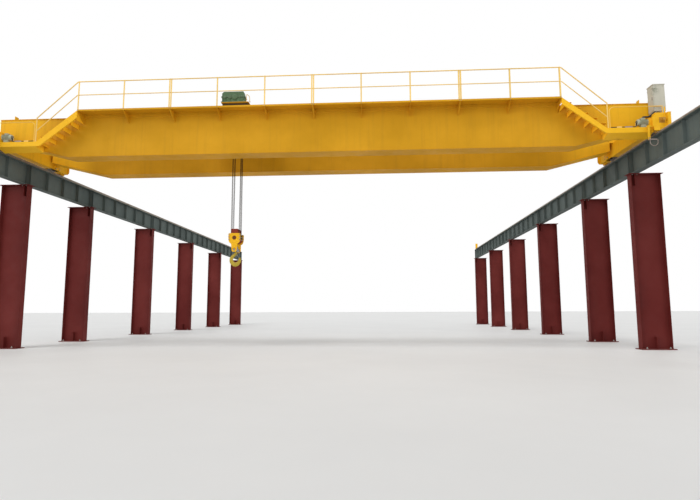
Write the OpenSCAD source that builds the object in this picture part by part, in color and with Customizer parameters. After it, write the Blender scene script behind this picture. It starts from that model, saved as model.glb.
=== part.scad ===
// Overhead travelling bridge crane with two box girders, on its own runway of steel columns.
// Millimetres. The origin is on the ground in the middle of the runway, +X runs along the
// bridge from rail to rail, +Y runs along the runway and +Z is up.

/* [Runway] */
// Distance between the crane rails, centre to centre
span = 22500; // [18000:250:26000]
// Height of the column heads above the ground
column_h = 6140; // [5000:10:8000]
// Length of a normal bay between two columns
bay = 6400; // [5600:50:7200]
// Length of the short bay, the second one
short_bay = 4250; // [3600:50:5600]
// Number of normal bays beyond the short one
bays_beyond = 4; // [3:1:5]
// Depth of the runway girders
runway_h = 790; // [600:10:1000]
// Width of the runway girders' top flange
runway_top_w = 300; // [240:10:400]
// Width of the runway girders' bottom flange
runway_bottom_w = 260; // [200:10:340]
// Thickness of the runway girders' flanges
runway_flange_t = 16; // [10:1:30]
// Thickness of the runway girders' web
runway_web_t = 10; // [6:1:20]
// Number of panels between stiffeners in a normal bay
runway_panels = 6; // [4:1:8]
// Height of the crane rail
rail_h = 130; // [90:5:170]
// Width of the crane rail's head
rail_head_w = 80; // [60:2:110]

/* [Columns] */
// Depth of a column along the bridge
column_d = 1020; // [700:10:1300]
// Width of a column's flanges along the runway
column_w = 270; // [220:10:400]
// Thickness of a column's flanges
column_flange_t = 16; // [10:1:30]
// Thickness of a column's web
column_web_t = 10; // [6:1:20]
// Thickness of the base plates
base_t = 30; // [20:1:50]
// How far a base plate reaches past the column along the bridge
base_margin_x = 60; // [40:5:120]
// How far a base plate reaches past the column along the runway
base_margin_y = 110; // [90:5:160]
// Diameter of the anchor bolt holes
anchor_hole_d = 36; // [24:1:44]
// Thickness of the cap plates
cap_t = 20; // [12:1:40]
// How far a cap plate reaches past the column
cap_margin = 75; // [40:5:100]

/* [Bridge] */
// Where the bridge stands, measured from the second pair of columns
bridge_offset = 50; // [-400:10:4000]
// Distance between the box girders, centre to centre
girder_gauge = 2400; // [2200:20:3000]
// Distance between the outer faces of a box girder's webs
girder_w = 560; // [480:10:640]
// Depth of the box girders in the middle
girder_h = 1420; // [1200:10:1700]
// Depth of the box girders over the end trucks
girder_end_h = 560; // [480:10:800]
// Rise of the girders' underside from the kink to the end truck
girder_rise = 542; // [400:2:600]
// Distance from the end truck to the kink in the girders' underside
girder_taper = 2305; // [1500:5:3500]
// How far the flanges reach past the webs
girder_lip = 30; // [15:1:60]
// Thickness of the girders' flanges
girder_flange_t = 14; // [8:1:25]
// Thickness of the girders' webs
girder_web_t = 8; // [6:1:16]
// Height of the trolley rail
trolley_rail_h = 100; // [70:5:130]

/* [End trucks] */
// How far an end truck's box reaches past its wheels' axles
truck_overhang = 735; // [600:5:900]
// Width of an end truck's box
truck_w = 400; // [340:10:480]
// Height of an end truck's box
truck_h = 500; // [440:10:600]
// Thickness of an end truck's plates
truck_t = 12; // [8:1:20]
// Diameter of the travel wheels' tread
wheel_d = 420; // [400:10:500]
// Diameter of the travel wheels' axles
axle_d = 90; // [60:5:120]

/* [Walkway] */
// How far the walkway reaches past the front girder's web
walkway_w = 460; // [420:10:700]
// Height of the walkway above the girder's top
walk_rise = 110; // [0:5:130]
// Length of the end platforms
platform_l = 1430; // [1200:10:1600]
// Number of bays in the handrail
post_bays = 10; // [8:2:10]
// Height of the handrail above the walkway
handrail_h = 1030; // [900:10:1200]
// Length of the stairs at the walkway's ends
stair_run = 1400; // [1000:10:1600]
// Height of the end platforms below the walkway
stair_drop = 1090; // [900:10:1150]
// Number of steps in each stair
stair_steps = 6; // [5:1:7]
// Height of the guard rails above the end platforms
guard_h = 700; // [600:10:1000]
// Depth of the end platforms' edge
platform_edge = 170; // [100:5:200]
// Width of the control cabinet
cabinet_w = 360; // [300:10:440]
// Height of the control cabinet
cabinet_h = 900; // [700:10:1200]
// Height of the stand under the control cabinet
cabinet_leg = 130; // [60:10:400]

/* [Trolley and hoist] */
// Where the hook hangs, measured from the middle of the bridge
hook_x = -3070; // [-7000:10:7000]
// Distance between the trolley rails
trolley_gauge = 2000; // [1800:20:2200]
// Wheelbase of the trolley
trolley_base = 1700; // [1600:20:2200]
// Length of the trolley's side beams
trolley_l = 2500; // [2300:20:3000]
// Diameter of the trolley wheels' tread
trolley_wheel_d = 315; // [250:5:330]
// Height of the trolley's side beams
trolley_beam_h = 342; // [340:2:460]
// Height of the hook block's pin above the ground
block_pin_z = 4005; // [3000:5:6500]
// Radius at which the ropes lie on the sheaves
sheave_pitch_r = 145; // [120:1:160]
// Distance between the sheaves in the hook block
sheave_gap = 110; // [90:1:130]
// Diameter of the hoist rope
rope_d = 18; // [12:1:22]
// Diameter of the rope drum
drum_d = 360; // [300:10:380]
// Inner radius of the hook's bowl
hook_r = 100; // [80:1:110]

/* [Hidden] */
$fn = 48;

crane_yellow = [0.84, 0.61, 0.13];
rail_yellow = [0.95, 0.78, 0.35];
maroon = [0.38, 0.16, 0.17];
girder_grey = [0.42, 0.48, 0.49];
steel = [0.45, 0.45, 0.46];
machine_green = [0.40, 0.55, 0.44];
panel_grey = [0.72, 0.72, 0.68];
guard_red = [0.62, 0.20, 0.16];
buffer_amber = [0.70, 0.48, 0.20];
rope_grey = [0.20, 0.20, 0.20];

seat_gap = 0.3;
fit_gap = 0.5;
side_gap = 5;

// Runway levels and places, where columns stand on their base plates
rail_x = span / 2;
runway_l = bay + short_bay + bays_beyond * bay;
runway_y0 = -runway_l / 2;
column_ys = concat([runway_y0, runway_y0 + bay],
                   [for (i = [0:bays_beyond]) runway_y0 + bay + short_bay + i * bay]);
column_x = rail_x - runway_top_w / 2 + column_d / 2;
girder_end_y = runway_l / 2 + column_w / 2;
runway_top_z = column_h + runway_h;
rail_top_z = runway_top_z + rail_h;
anchor_x = column_d - 2 * column_flange_t - 220;
anchor_y = column_w + base_margin_y;
bay_gap = 10;
stiffener_t = 8;
stop_l = 340;
stop_w = 200;
stop_t = 20;
stop_h = 560;

// Bridge levels and places, from the bridge's own centre line
bridge_y = column_ys[1] + bridge_offset;
axle_z = rail_top_z + wheel_d / 2 + seat_gap;
truck_z0 = rail_top_z + 60;
truck_z1 = truck_z0 + truck_h;
truck_in_x = rail_x - truck_w / 2;
girder_top_z = truck_z1 + girder_end_h;
girder_bottom_z = girder_top_z - girder_h;
girder_half = girder_gauge / 2;
girder_out_y = girder_half + girder_w / 2;
girder_lip_y = girder_out_y + girder_lip;
housing_t = 70;
housing_s = 320;
cover_t = 25;
notch_x = truck_in_x - housing_t - cover_t - 15;
kink_x = truck_in_x - girder_taper;
girder_end_x = rail_x + 60;
walk_y = girder_out_y + walkway_w;
wheelbase = 2 * (girder_lip_y - side_gap - housing_s / 2);
truck_l = wheelbase + 2 * truck_overhang;
wheel_flange_h = 22;
wheel_flange_w = 20;
wheel_tread_w = rail_head_w + 2 * side_gap;
buffer_l = 150;
buffer_d = 120;

// Walkway, stairs and end platforms
walk_z = girder_top_z + walk_rise;
walk_half = truck_in_x - platform_l - stair_run;
post_pitch = 2 * walk_half / post_bays;
deck_t = 6;
edge_h = 60;
bracket_h = 370;
plate_t = 10;
post_w = 45;
post_t = 6;
top_rail_d = 36;
mid_rail_d = 30;
mid_rail_k = 0.53;
platform_z = walk_z - stair_drop;
stair_x1 = walk_half + stair_run;
stringer_h = 215;
fold_t = 6;
fold_lip = 110;
deck_in_y = girder_lip_y + deck_t;
double_posts = [2, post_bays / 2, post_bays - 2];

// Travel drives: a gear case on the front of the truck's inner plate, with its motor inboard
drive_r = 150;
drive_x0 = truck_in_x - 95;
drive_y = -girder_lip_y - 90 - drive_r;
drive_z = platform_z + 215;

// Trolley levels, from the hook's own centre line
trolley_rail_top_z = girder_top_z + trolley_rail_h;
trolley_rail_y = trolley_gauge / 2;
trolley_rail_half = truck_in_x + 40;
trolley_stop_h = 290;
trolley_axle_z = trolley_rail_top_z + trolley_wheel_d / 2 + seat_gap;
beam_w = 180;
beam_z0 = trolley_rail_top_z + 40;
beam_z1 = beam_z0 + trolley_beam_h;
cross_x = 620;
cross_w = 200;
frame_t = 8;
frame_top_z = beam_z1 + frame_t;
upper_z = beam_z1 - 210;
case_foot_z = frame_top_z + 280;
drum_z = case_foot_z + 200;
drum_x = drum_d / 2 + rope_d / 2 - sheave_pitch_r;
motor_r = 145;
drum_flange = 35;
motor_x = drum_x - drum_d / 2 - drum_flange - 15 - motor_r;
sheave_rim_r = sheave_pitch_r + 25;
sheave_ys = [for (i = [-1.5:1:1.5]) i * sheave_gap];
bearer_y = 2 * sheave_gap + 10;
bearer_t = 20;
case_x = [motor_x - 109, drum_x + 346];
case_y0 = -720;
case_y1 = -440;

// Hook block, from its pin
block_y = 1.5 * sheave_gap + 65;
side_t = 16;
block_top = sheave_rim_r - 5;
cross_dz = 440;
cross_h = 110;
shank_d = 80;
hook_dz = 785;
latch_pin_d = 12;
latch_x = 44;
latch_z = -hook_dz + 178;
latch_l = 150;
upper_axle_d = 70;
block_axle_d = 90;

// Helpers

module block(x, y, z) {
    translate([x[0], y[0], z[0]])
        cube([x[1] - x[0], y[1] - y[0], z[1] - z[0]]);
}

module rod(p, q, d) {
    v = q - p;
    h = norm(v);
    translate(p)
        rotate([0, acos(v[2] / h), atan2(v[1], v[0])])
            cylinder(h = h, d = d);
}

module rod_x(x, y, z, d) {
    translate([x[0], y, z]) rotate([0, 90, 0]) cylinder(h = x[1] - x[0], d = d);
}

module rod_y(x, y, z, d) {
    translate([x, y[0], z]) rotate([-90, 0, 0]) cylinder(h = y[1] - y[0], d = d);
}

// A profile in X and Z, drawn out along Y
module along_y(y) {
    translate([0, y[1], 0]) rotate([90, 0, 0]) linear_extrude(y[1] - y[0]) children();
}

// A profile in Y and Z, drawn out along X
module along_x(x) {
    translate([x[0], 0, 0]) rotate([90, 0, 90]) linear_extrude(x[1] - x[0]) children();
}

module both_ends() {
    children();
    mirror([1, 0, 0]) children();
}

module both_sides() {
    children();
    mirror([0, 1, 0]) children();
}

module at_bridge() {
    translate([0, bridge_y, 0]) children();
}

module at_trolley() {
    translate([hook_x, bridge_y, 0]) children();
}

// Runway

module column_section() {
    square([column_d, column_web_t], center = true);
    for (s = [-1, 1])
        translate([s * (column_d - column_flange_t) / 2, 0])
            square([column_flange_t, column_w], center = true);
}

module base_plate() {
    difference() {
        linear_extrude(base_t)
            square([column_d + 2 * base_margin_x, column_w + 2 * base_margin_y], center = true);
        for (sx = [-1, 1], sy = [-1, 1])
            translate([sx * anchor_x / 2, sy * anchor_y / 2, -1])
                cylinder(h = base_t + 2, d = anchor_hole_d);
    }
}

module base_plates() {
    color(maroon)
        for (side = [-1, 1], y = column_ys)
            translate([side * column_x, y, 0]) base_plate();
}

// One column on the side of +X, its web along the bridge
module column() {
    seat_x = rail_x - column_x;
    rib_y = column_w / 2 - 5;
    translate([0, 0, base_t])
        linear_extrude(column_h - base_t - cap_t + 1) column_section();
    translate([-column_d / 2 - cap_margin, -column_w / 2 - cap_margin / 2, column_h - cap_t])
        cube([column_d + 2 * cap_margin, column_w + cap_margin, cap_t]);
    // Bearing ribs under the runway girder and foot ribs at the base
    for (place = [[seat_x, column_h - cap_t - 400], [0, base_t]])
        block([place[0] - 6, place[0] + 6], [-rib_y, rib_y], [place[1], place[1] + 401]);
}

module columns(side) {
    color(maroon)
        for (y = column_ys)
            translate([side * column_x, y, 0]) scale([side, 1, 1]) column();
}

// One simply supported runway girder between two columns
module runway_bay(y0, y1) {
    n = max(2, round((y1 - y0) / bay * runway_panels));
    rib_x = runway_bottom_w / 2 - 5;
    z0 = column_h;
    z1 = runway_top_z;
    block([-runway_web_t / 2, runway_web_t / 2], [y0, y1], [z0, z1]);
    block([-runway_bottom_w / 2, runway_bottom_w / 2], [y0, y1], [z0, z0 + runway_flange_t]);
    block([-runway_top_w / 2, runway_top_w / 2], [y0, y1], [z1 - runway_flange_t, z1]);
    for (i = [0:n]) {
        y = y0 + 60 + i * (y1 - y0 - 120) / n;
        block([-rib_x, rib_x], [y - stiffener_t / 2, y + stiffener_t / 2],
              [z0 + 1, z1 - 1]);
    }
}

module runway_girders(side) {
    last = len(column_ys) - 1;
    color(girder_grey)
        for (i = [0:last - 1]) {
            y0 = i == 0 ? -girder_end_y : column_ys[i] + bay_gap / 2;
            y1 = i == last - 1 ? girder_end_y : column_ys[i + 1] - bay_gap / 2;
            translate([side * rail_x, 0, 0]) runway_bay(y0, y1);
        }
}

// Crane rail profile standing on z = 0
module rail_profile(h, head) {
    foot = h;
    web = head * 0.4;
    polygon([[-foot / 2, 0], [foot / 2, 0], [foot / 2, h * 0.1], [web / 2, h * 0.22],
             [web / 2, h * 0.62], [head / 2, h * 0.74], [head / 2, h * 0.95],
             [head * 0.42, h], [-head * 0.42, h], [-head / 2, h * 0.95],
             [-head / 2, h * 0.74], [-web / 2, h * 0.62], [-web / 2, h * 0.22],
             [-foot / 2, h * 0.1]]);
}

module crane_rails() {
    y = girder_end_y - stop_l;
    color(steel)
        for (side = [-1, 1])
            translate([side * rail_x, 0, runway_top_z])
                along_y([-y, y]) rail_profile(rail_h, rail_head_w);
}

// Stop at the far end of the right rail: a buffer plate with a raking gusset
module end_stop() {
    y0 = girder_end_y - stop_l;
    y1 = girder_end_y;
    translate([rail_x, 0, runway_top_z]) {
        block([-stop_w / 2, stop_w / 2], [y0, y1], [0, stop_t]);
        block([-stop_w / 2, stop_w / 2], [y0 + 20, y0 + 20 + stop_t], [0, stop_h]);
        along_x([-stop_t / 2, stop_t / 2])
            polygon([[y0 + 21, 0], [y1 - 20, 0], [y1 - 20, 60], [y0 + 60, stop_h - 40],
                     [y0 + 21, stop_h - 40]]);
    }
}

module end_stops() {
    color(crane_yellow) both_ends() both_sides() end_stop();
}

// Bridge girders

module girder_outline() {
    z0 = girder_bottom_z;
    zn = z0 + girder_rise;
    polygon([[-kink_x, z0], [kink_x, z0], [notch_x, zn], [notch_x, truck_z1],
             [girder_end_x, truck_z1], [girder_end_x, girder_top_z],
             [-girder_end_x, girder_top_z], [-girder_end_x, truck_z1],
             [-notch_x, truck_z1], [-notch_x, zn]]);
}

module manhole() {
    circle(d = 300);
    translate([-150, -75]) square([300, 150]);
    translate([0, 75]) circle(d = 300);
    translate([0, -75]) circle(d = 300);
}

module box_girder(y) {
    web_y = girder_w / 2;
    zn = girder_bottom_z + girder_rise;
    hole_z = (truck_z1 + girder_top_z) / 2;
    color(crane_yellow) at_bridge() translate([0, y, 0]) {
        for (s = [0, 1])
            mirror([0, s, 0]) along_y([web_y - girder_web_t, web_y]) girder_outline();
        // Bottom flange, which follows the underside
        along_y([-web_y - girder_lip, web_y + girder_lip])
            difference() {
                girder_outline();
                translate([0, girder_flange_t]) girder_outline();
            }
        block([-girder_end_x, girder_end_x], [-web_y - girder_lip, web_y + girder_lip],
              [girder_top_z - girder_flange_t, girder_top_z]);
        both_ends() {
            block([notch_x - girder_web_t, notch_x], [1 - web_y, web_y - 1], [zn, truck_z1 + 1]);
            difference() {
                block([girder_end_x - girder_web_t, girder_end_x], [1 - web_y, web_y - 1],
                      [truck_z1, girder_top_z - 1]);
                translate([0, 0, hole_z])
                    along_x([girder_end_x - 50, girder_end_x + 50]) manhole();
            }
        }
    }
}

module trolley_rails() {
    color(steel) at_bridge()
        for (s = [-1, 1])
            translate([-trolley_rail_half, s * trolley_rail_y, girder_top_z])
                along_x([0, 2 * trolley_rail_half]) rail_profile(trolley_rail_h, 66);
}

module trolley_stops() {
    x = trolley_rail_half;
    h = trolley_stop_h;
    color(crane_yellow) at_bridge() both_ends() both_sides()
        translate([0, trolley_rail_y, girder_top_z]) {
            block([x, x + 16], [-90, 90], [0, h]);
            along_y([-8, 8]) polygon([[x + 15, 0], [x + 190, 0], [x + 15, h - 20]]);
        }
}

// End trucks

// Hollow box along Y with wells under its two wheels and bores for their axles
module wheel_box(l, w, z0, z1, t, base, well, axle_level, axle_bore) {
    difference() {
        block([-w / 2, w / 2], [-l / 2, l / 2], [z0, z1]);
        block([-w / 2 + t, w / 2 - t], [-l / 2 + t, l / 2 - t], [z0 + t, z1 - t]);
        for (s = [-1, 1]) {
            block([-w / 2 + t, w / 2 - t], [s * base / 2 - well / 2, s * base / 2 + well / 2],
                  [z0 - 1, z0 + t + 1]);
            rod_x([-w, w], s * base / 2, axle_level, axle_bore);
        }
    }
}

module end_trucks() {
    well = wheel_d + 2 * wheel_flange_h + 60;
    color(crane_yellow) at_bridge()
        for (side = [-1, 1])
            translate([side * rail_x, 0, 0])
                wheel_box(truck_l, truck_w, truck_z0, truck_z1, truck_t, wheelbase, well,
                          axle_z, axle_d + 2 * fit_gap);
}

// Double-flanged wheel with its axle through it, turning about X
module flanged_wheel(d, tread, flange_h, flange_w, axle, axle_l) {
    r = d / 2;
    rim = r - d * 0.11;
    hub = axle * 0.95;
    half = tread / 2 + flange_w;
    web = tread * 0.18;
    rotate([0, 90, 0]) {
        rotate_extrude($fn = 72)
            polygon([[0, -half], [hub, -half], [hub, -web], [rim, -web], [rim, -half],
                     [r + flange_h - 6, -half], [r + flange_h, -half + 6],
                     [r + flange_h, -half + flange_w - 8], [r, -tread / 2],
                     [r, tread / 2], [r + flange_h, half - flange_w + 8],
                     [r + flange_h, half - 6], [r + flange_h - 6, half], [rim, half],
                     [rim, web], [hub, web], [hub, half], [0, half]]);
        translate([0, 0, -axle_l / 2]) cylinder(h = axle_l, d = axle);
    }
}

module travel_wheels() {
    axle_l = truck_w + 2 * housing_t - 10;
    color(steel) at_bridge()
        for (side = [-1, 1], s = [-1, 1])
            translate([side * rail_x, s * wheelbase / 2, axle_z])
                flanged_wheel(wheel_d, wheel_tread_w, wheel_flange_h, wheel_flange_w, axle_d,
                              axle_l);
}

module housing_outline(s) {
    c = s * 0.27;
    h = s / 2;
    polygon([[-h, -h + c], [-h + c, -h], [h - c, -h], [h, -h + c], [h, h - c], [h - c, h],
             [-h + c, h], [-h, h - c]]);
}

// Angular bearing housing on a truck's plate, facing +X, bored for the axle
module bearing_housing(s, t, cover, bore) {
    difference() {
        union() {
            along_x([0, t]) housing_outline(s);
            rod_x([t - 1, t + cover], 0, 0, s * 0.64);
        }
        rod_x([-1, t - 4], 0, 0, bore);
    }
}

module bearing_housings() {
    color(crane_yellow) at_bridge()
        for (side = [-1, 1], s = [-1, 1])
            translate([side * rail_x, s * wheelbase / 2, axle_z])
                both_ends()
                    translate([truck_w / 2, 0, 0])
                        bearing_housing(housing_s, housing_t, cover_t, axle_d + 2 * fit_gap);
}

module truck_buffers() {
    z = (truck_z0 + truck_z1) / 2;
    color(buffer_amber) at_bridge() both_ends() both_sides()
        translate([rail_x, truck_l / 2, z]) {
            block([-90, 90], [0, 16], [-90, 90]);
            rod_y(0, [15, buffer_l - 30], 0, buffer_d);
            rod_y(0, [buffer_l - 31, buffer_l], 0, buffer_d * 0.8);
        }
}

// Travel drives

module travel_gearboxes() {
    color(crane_yellow) at_bridge() both_ends() {
        rod_x([drive_x0, truck_in_x], drive_y, drive_z, 2 * drive_r);
        block([drive_x0, truck_in_x], [drive_y - drive_r, drive_y + drive_r],
              [platform_z, drive_z]);
        block([drive_x0 + 20, truck_in_x], [drive_y - 90, drive_y + 90],
              [drive_z, drive_z + drive_r + 30]);
    }
}

module travel_motors() {
    color(machine_green) at_bridge() both_ends() {
        rod_x([drive_x0 - 20, drive_x0], drive_y, drive_z, 230);
        rod_x([drive_x0 - 250, drive_x0 - 19], drive_y, drive_z, 190);
        rod_x([drive_x0 - 310, drive_x0 - 249], drive_y, drive_z, 210);
        block([drive_x0 - 190, drive_x0 - 70], [drive_y - 60, drive_y + 60],
              [drive_z + 75, drive_z + 140]);
        block([drive_x0 - 210, drive_x0 - 50], [drive_y - 70, drive_y + 70],
              [platform_z, drive_z - 60]);
    }
}

// Walkway, stairs and platforms

function post_x(i) = (i - post_bays / 2) * post_pitch;

module walkway_deck() {
    color(crane_yellow) at_bridge() {
        block([-walk_half, walk_half], [-walk_y, -girder_lip_y], [walk_z - deck_t, walk_z]);
        block([-walk_half, walk_half], [-walk_y, -walk_y + deck_t],
              [walk_z - edge_h + 20, walk_z + 20]);
        block([-walk_half, walk_half], [-deck_in_y, -girder_lip_y],
              [girder_top_z - girder_flange_t, walk_z]);
    }
}

// Gusset that carries the walkway, from the web out to its edge
module bracket_outline() {
    z = walk_z;
    flange_z = girder_top_z - girder_flange_t;
    polygon([[-girder_out_y, flange_z], [-girder_out_y, z - bracket_h],
             [-walk_y + 10, z - edge_h], [-walk_y + 10, z - deck_t],
             [-deck_in_y, z - deck_t], [-deck_in_y, flange_z]]);
}

module walkway_brackets() {
    color(crane_yellow) at_bridge()
        for (i = [0:post_bays]) {
            end_inset = plate_t / 2 + fold_t + seat_gap;
            inset = i == 0 ? end_inset : (i == post_bays ? -end_inset : 0);
            w = len(search(i, double_posts)) > 0 ? 3 * plate_t : plate_t;
            x = post_x(i) + inset;
            along_x([x - w / 2, x + w / 2]) bracket_outline();
        }
}

// Angle-iron post standing on the walkway's edge
module post(x, y, z0, z1) {
    block([x - post_w / 2, x + post_w / 2], [y, y + post_t], [z0, z1]);
    block([x - post_w / 2, x - post_w / 2 + post_t], [y, y + post_w], [z0, z1]);
}

module walkway_handrail() {
    y = -walk_y + deck_t;
    z = walk_z;
    color(rail_yellow) at_bridge() {
        for (i = [0:post_bays])
            if (len(search(i, double_posts)) > 0) {
                for (s = [-1, 1]) post(post_x(i) + s * 30, y, z, z + handrail_h);
            } else {
                inset = i == 0 ? 1 : (i == post_bays ? -1 : 0);
                post(post_x(i) + inset * post_w / 2, y, z, z + handrail_h);
            }
        rod_x([-walk_half, walk_half], y + 10, z + handrail_h, top_rail_d);
        rod_x([-walk_half, walk_half], y + 10, z + handrail_h * mid_rail_k, mid_rail_d);
    }
}

// Folded plate of one stair, from the walkway's end down to the platform
function fold(i) = [walk_half + i * stair_run / stair_steps,
                    walk_z - i * stair_drop / stair_steps];
function stair_line() = concat(
    [[walk_half, girder_top_z - girder_flange_t - seat_gap]],
    [for (i = [0:stair_steps - 1]) each (i == 0 ? [[fold(0)[0], fold(1)[1]]]
                                        : [fold(i), [fold(i)[0], fold(i + 1)[1]]])],
    [fold(stair_steps)]);
function reversed(list) = [for (i = [len(list) - 1:-1:0]) list[i]];

module stair() {
    line = stair_line();
    under = [for (i = [0:len(line) - 1]) line[i] - [fold_t, i == 0 ? 0 : fold_t]];
    top = fold(0);
    foot = fold(stair_steps);
    fold_y = [-walk_y + plate_t - 1, -girder_out_y];
    along_y(fold_y) polygon(concat(line, reversed(under)));
    // Each tread's back edge is turned down
    for (i = [0:stair_steps - 1]) {
        z = fold(i + 1)[1];
        block([fold(i)[0] - fold_t, fold(i)[0]], fold_y, [z - fold_lip, z - 1]);
    }
    along_y([-walk_y, -walk_y + plate_t])
        polygon([top, [top[0] + 40, top[1] + 20], [foot[0], foot[1] + 48],
                 [foot[0], foot[1] - platform_edge], [foot[0] - 120, foot[1] - platform_edge],
                 [top[0], top[1] - stringer_h + 60]]);
}

module end_stairs() {
    color(crane_yellow) at_bridge() both_ends() stair();
}

module stair_rail() {
    y = -walk_y + 16;
    top = walk_z;
    x0 = walk_half + top_rail_d / 2;
    x1 = stair_x1 + 30;
    high = [x0, y, top + handrail_h];
    low = [x1, y, platform_z + handrail_h * 0.82];
    mid_high = [x0, y, top + handrail_h * mid_rail_k];
    mid_low = [x1, y, platform_z + handrail_h * 0.36];
    rod(high, low, top_rail_d);
    rod(mid_high, mid_low, mid_rail_d);
    translate(low) sphere(d = top_rail_d + 8);
    rod([x1, y, platform_z], low, top_rail_d);
}

module stair_rails() {
    color(rail_yellow) at_bridge() both_ends() stair_rail();
}

module end_platform() {
    z0 = platform_z - platform_edge;
    x0 = stair_x1;
    x1 = truck_in_x;
    y0 = -walk_y;
    y1 = -girder_lip_y;
    block([x0, x1], [y0, y1], [platform_z - deck_t, platform_z]);
    block([x0, x1], [y0, y0 + plate_t], [z0, platform_z]);
    block([x0, x1], [y1 - plate_t, y1], [z0, platform_z]);
    for (x = [x0, (x0 + x1) / 2, x1 - plate_t])
        block([x, x + plate_t], [y0, y1], [z0, platform_z]);
}

module end_platforms() {
    color(crane_yellow) at_bridge() both_ends() end_platform();
}

// Bent-pipe guard rail: a leg, a quarter bend and a level pipe to a post on the truck
module guard_rail() {
    r = 150;
    d = mid_rail_d;
    y = -walk_y + 16;
    z = platform_z + guard_h;
    x0 = stair_x1 + 90;
    x1 = rail_x + 130;
    rod([x0, y, platform_z], [x0, y, z - r], d);
    translate([x0 + r, y, z - r]) rotate([90, 0, 0])
        rotate_extrude(angle = 90, start = 90) translate([r, 0]) circle(d = d);
    rod_x([x0 + r, x1 + d / 2], y, z, d);
    rod([x1, y, truck_z1], [x1, y, z], d);
}

module guard_rails() {
    color(rail_yellow) at_bridge() both_ends() guard_rail();
}

// Switchgear cabinet on its stand over the right-hand truck
module control_cabinet() {
    x = [truck_in_x + 110, truck_in_x + 110 + cabinet_w];
    y = [-walk_y + 60, -girder_lip_y - 20];
    z0 = truck_z1 + cabinet_leg;
    z1 = z0 + cabinet_h;
    color(panel_grey) at_bridge() {
        block(x, y, [z0, z1]);
        block([x[0] - 15, x[1] + 15], [y[0] - 15, y[1] + 15], [z1 - 10, z1 + 15]);
        for (px = [x[0] + 5, truck_in_x + truck_w - 55], py = [y[0] + 5, y[1] - 55])
            block([px, px + 50], [py, py + 50], [truck_z1, z0 + 1]);
    }
}

// Current collector arm, hung inside the right-hand runway girder
module collector_bracket() {
    x = truck_in_x - 230;
    y = -truck_l / 2 + 40;
    z = truck_z0 + 40;
    foot_z = runway_top_z - 190;
    r = 90;
    hoop_x = x + 60 + r;
    hoop_z = foot_z - 100;
    color(crane_yellow) at_bridge() {
        block([x, truck_in_x], [y, y + 60], [z, z + 60]);
        block([x, x + 60], [y, y + 60], [foot_z, z + 1]);
        block([x, truck_in_x + 40], [y, y + 60], [foot_z, foot_z + 40]);
        for (hx = [hoop_x - r, hoop_x + r])
            rod([hx, y + 30, hoop_z], [hx, y + 30, foot_z + 1], 28);
        translate([hoop_x, y + 30, hoop_z]) rotate([90, 0, 0])
            rotate_extrude(angle = 180, start = 180) translate([r, 0]) circle(d = 28);
    }
}

// Trolley

module trolley_frame() {
    well = trolley_wheel_d + 80;
    inner_y = trolley_rail_y - beam_w / 2;
    outer_y = trolley_rail_y + beam_w / 2;
    color(crane_yellow) at_trolley() {
        for (s = [-1, 1])
            translate([0, s * trolley_rail_y, 0]) rotate([0, 0, 90])
                wheel_box(trolley_l, beam_w, beam_z0, beam_z1, frame_t, trolley_base, well,
                          trolley_axle_z, 60 + 2 * fit_gap);
        both_ends()
            block([cross_x - cross_w / 2, cross_x + cross_w / 2], [-inner_y - 1, inner_y + 1],
                  [beam_z0 + 100, beam_z1]);
        difference() {
            block([-trolley_l / 2, trolley_l / 2], [-outer_y, outer_y], [beam_z1 - 1, frame_top_z]);
            block([-230, 230], [-400, 400], [beam_z1 - 2, frame_top_z + 1]);
        }
        // Plates that carry the upper sheaves' axle
        both_sides() difference() {
            block([-cross_x, cross_x], [bearer_y, bearer_y + bearer_t], [upper_z - 90, beam_z1]);
            rod_y(0, [bearer_y - 1, bearer_y + bearer_t + 1], upper_z, 70 + 2 * fit_gap);
        }
    }
}

module trolley_wheels() {
    color(steel) at_trolley()
        for (sx = [-1, 1], sy = [-1, 1])
            translate([sx * trolley_base / 2, sy * trolley_rail_y, trolley_axle_z])
                rotate([0, 0, 90])
                    flanged_wheel(trolley_wheel_d, 66 + 2 * side_gap, 16, 16, 60, beam_w + 60);
}

module trolley_drive() {
    x = trolley_base / 2;
    y = trolley_rail_y - beam_w / 2;
    color(machine_green) at_trolley()
        difference() {
            union() {
                block([x - 110, x + 110], [y - 130, y], [trolley_axle_z - 90, beam_z1 - 30]);
                rod_y(x, [y - 400, y - 129], trolley_axle_z + 90, 170);
            }
            rod_y(x, [y - 60, y + 1], trolley_axle_z, 60 + 2 * fit_gap);
        }
}

// Ribbed gear case of the hoist, split at the shafts' level
module hoist_gear_case() {
    x = case_x;
    foot_z = case_foot_z;
    top_z = drum_z + 200;
    color(machine_green) at_trolley() difference() {
        union() {
            block([x[0] - 30, x[1] + 30], [case_y0 - 20, case_y1], [foot_z, foot_z + 30]);
            block(x, [case_y0, case_y1 - 20], [foot_z + 29, drum_z]);
            block([x[0] - 25, x[1] + 25], [case_y0 - 20, case_y1], [drum_z - 20, drum_z + 20]);
            along_y([case_y0, case_y1 - 20])
                polygon([[x[0], drum_z], [x[1], drum_z], [x[1] - 40, top_z],
                         [x[0] + 70, top_z], [x[0], top_z - 60]]);
            // Bearing bosses and the ribs under them
            for (shaft = [[motor_x, 130], [(motor_x + drum_x) / 2, 150], [drum_x, 210]]) {
                rod_y(shaft[0], [case_y0 - 18, case_y1 - 2], drum_z, shaft[1]);
                block([shaft[0] - 8, shaft[0] + 8], [case_y0 - 18, case_y1 - 2],
                      [foot_z + 29, drum_z]);
            }
        }
        rod_y(drum_x, [case_y1 - 40, case_y1 + 1], drum_z, 100 + 2 * fit_gap);
        rod_y(motor_x, [case_y1 - 40, case_y1 + 1], drum_z, 60 + 2 * fit_gap);
    }
}

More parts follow.
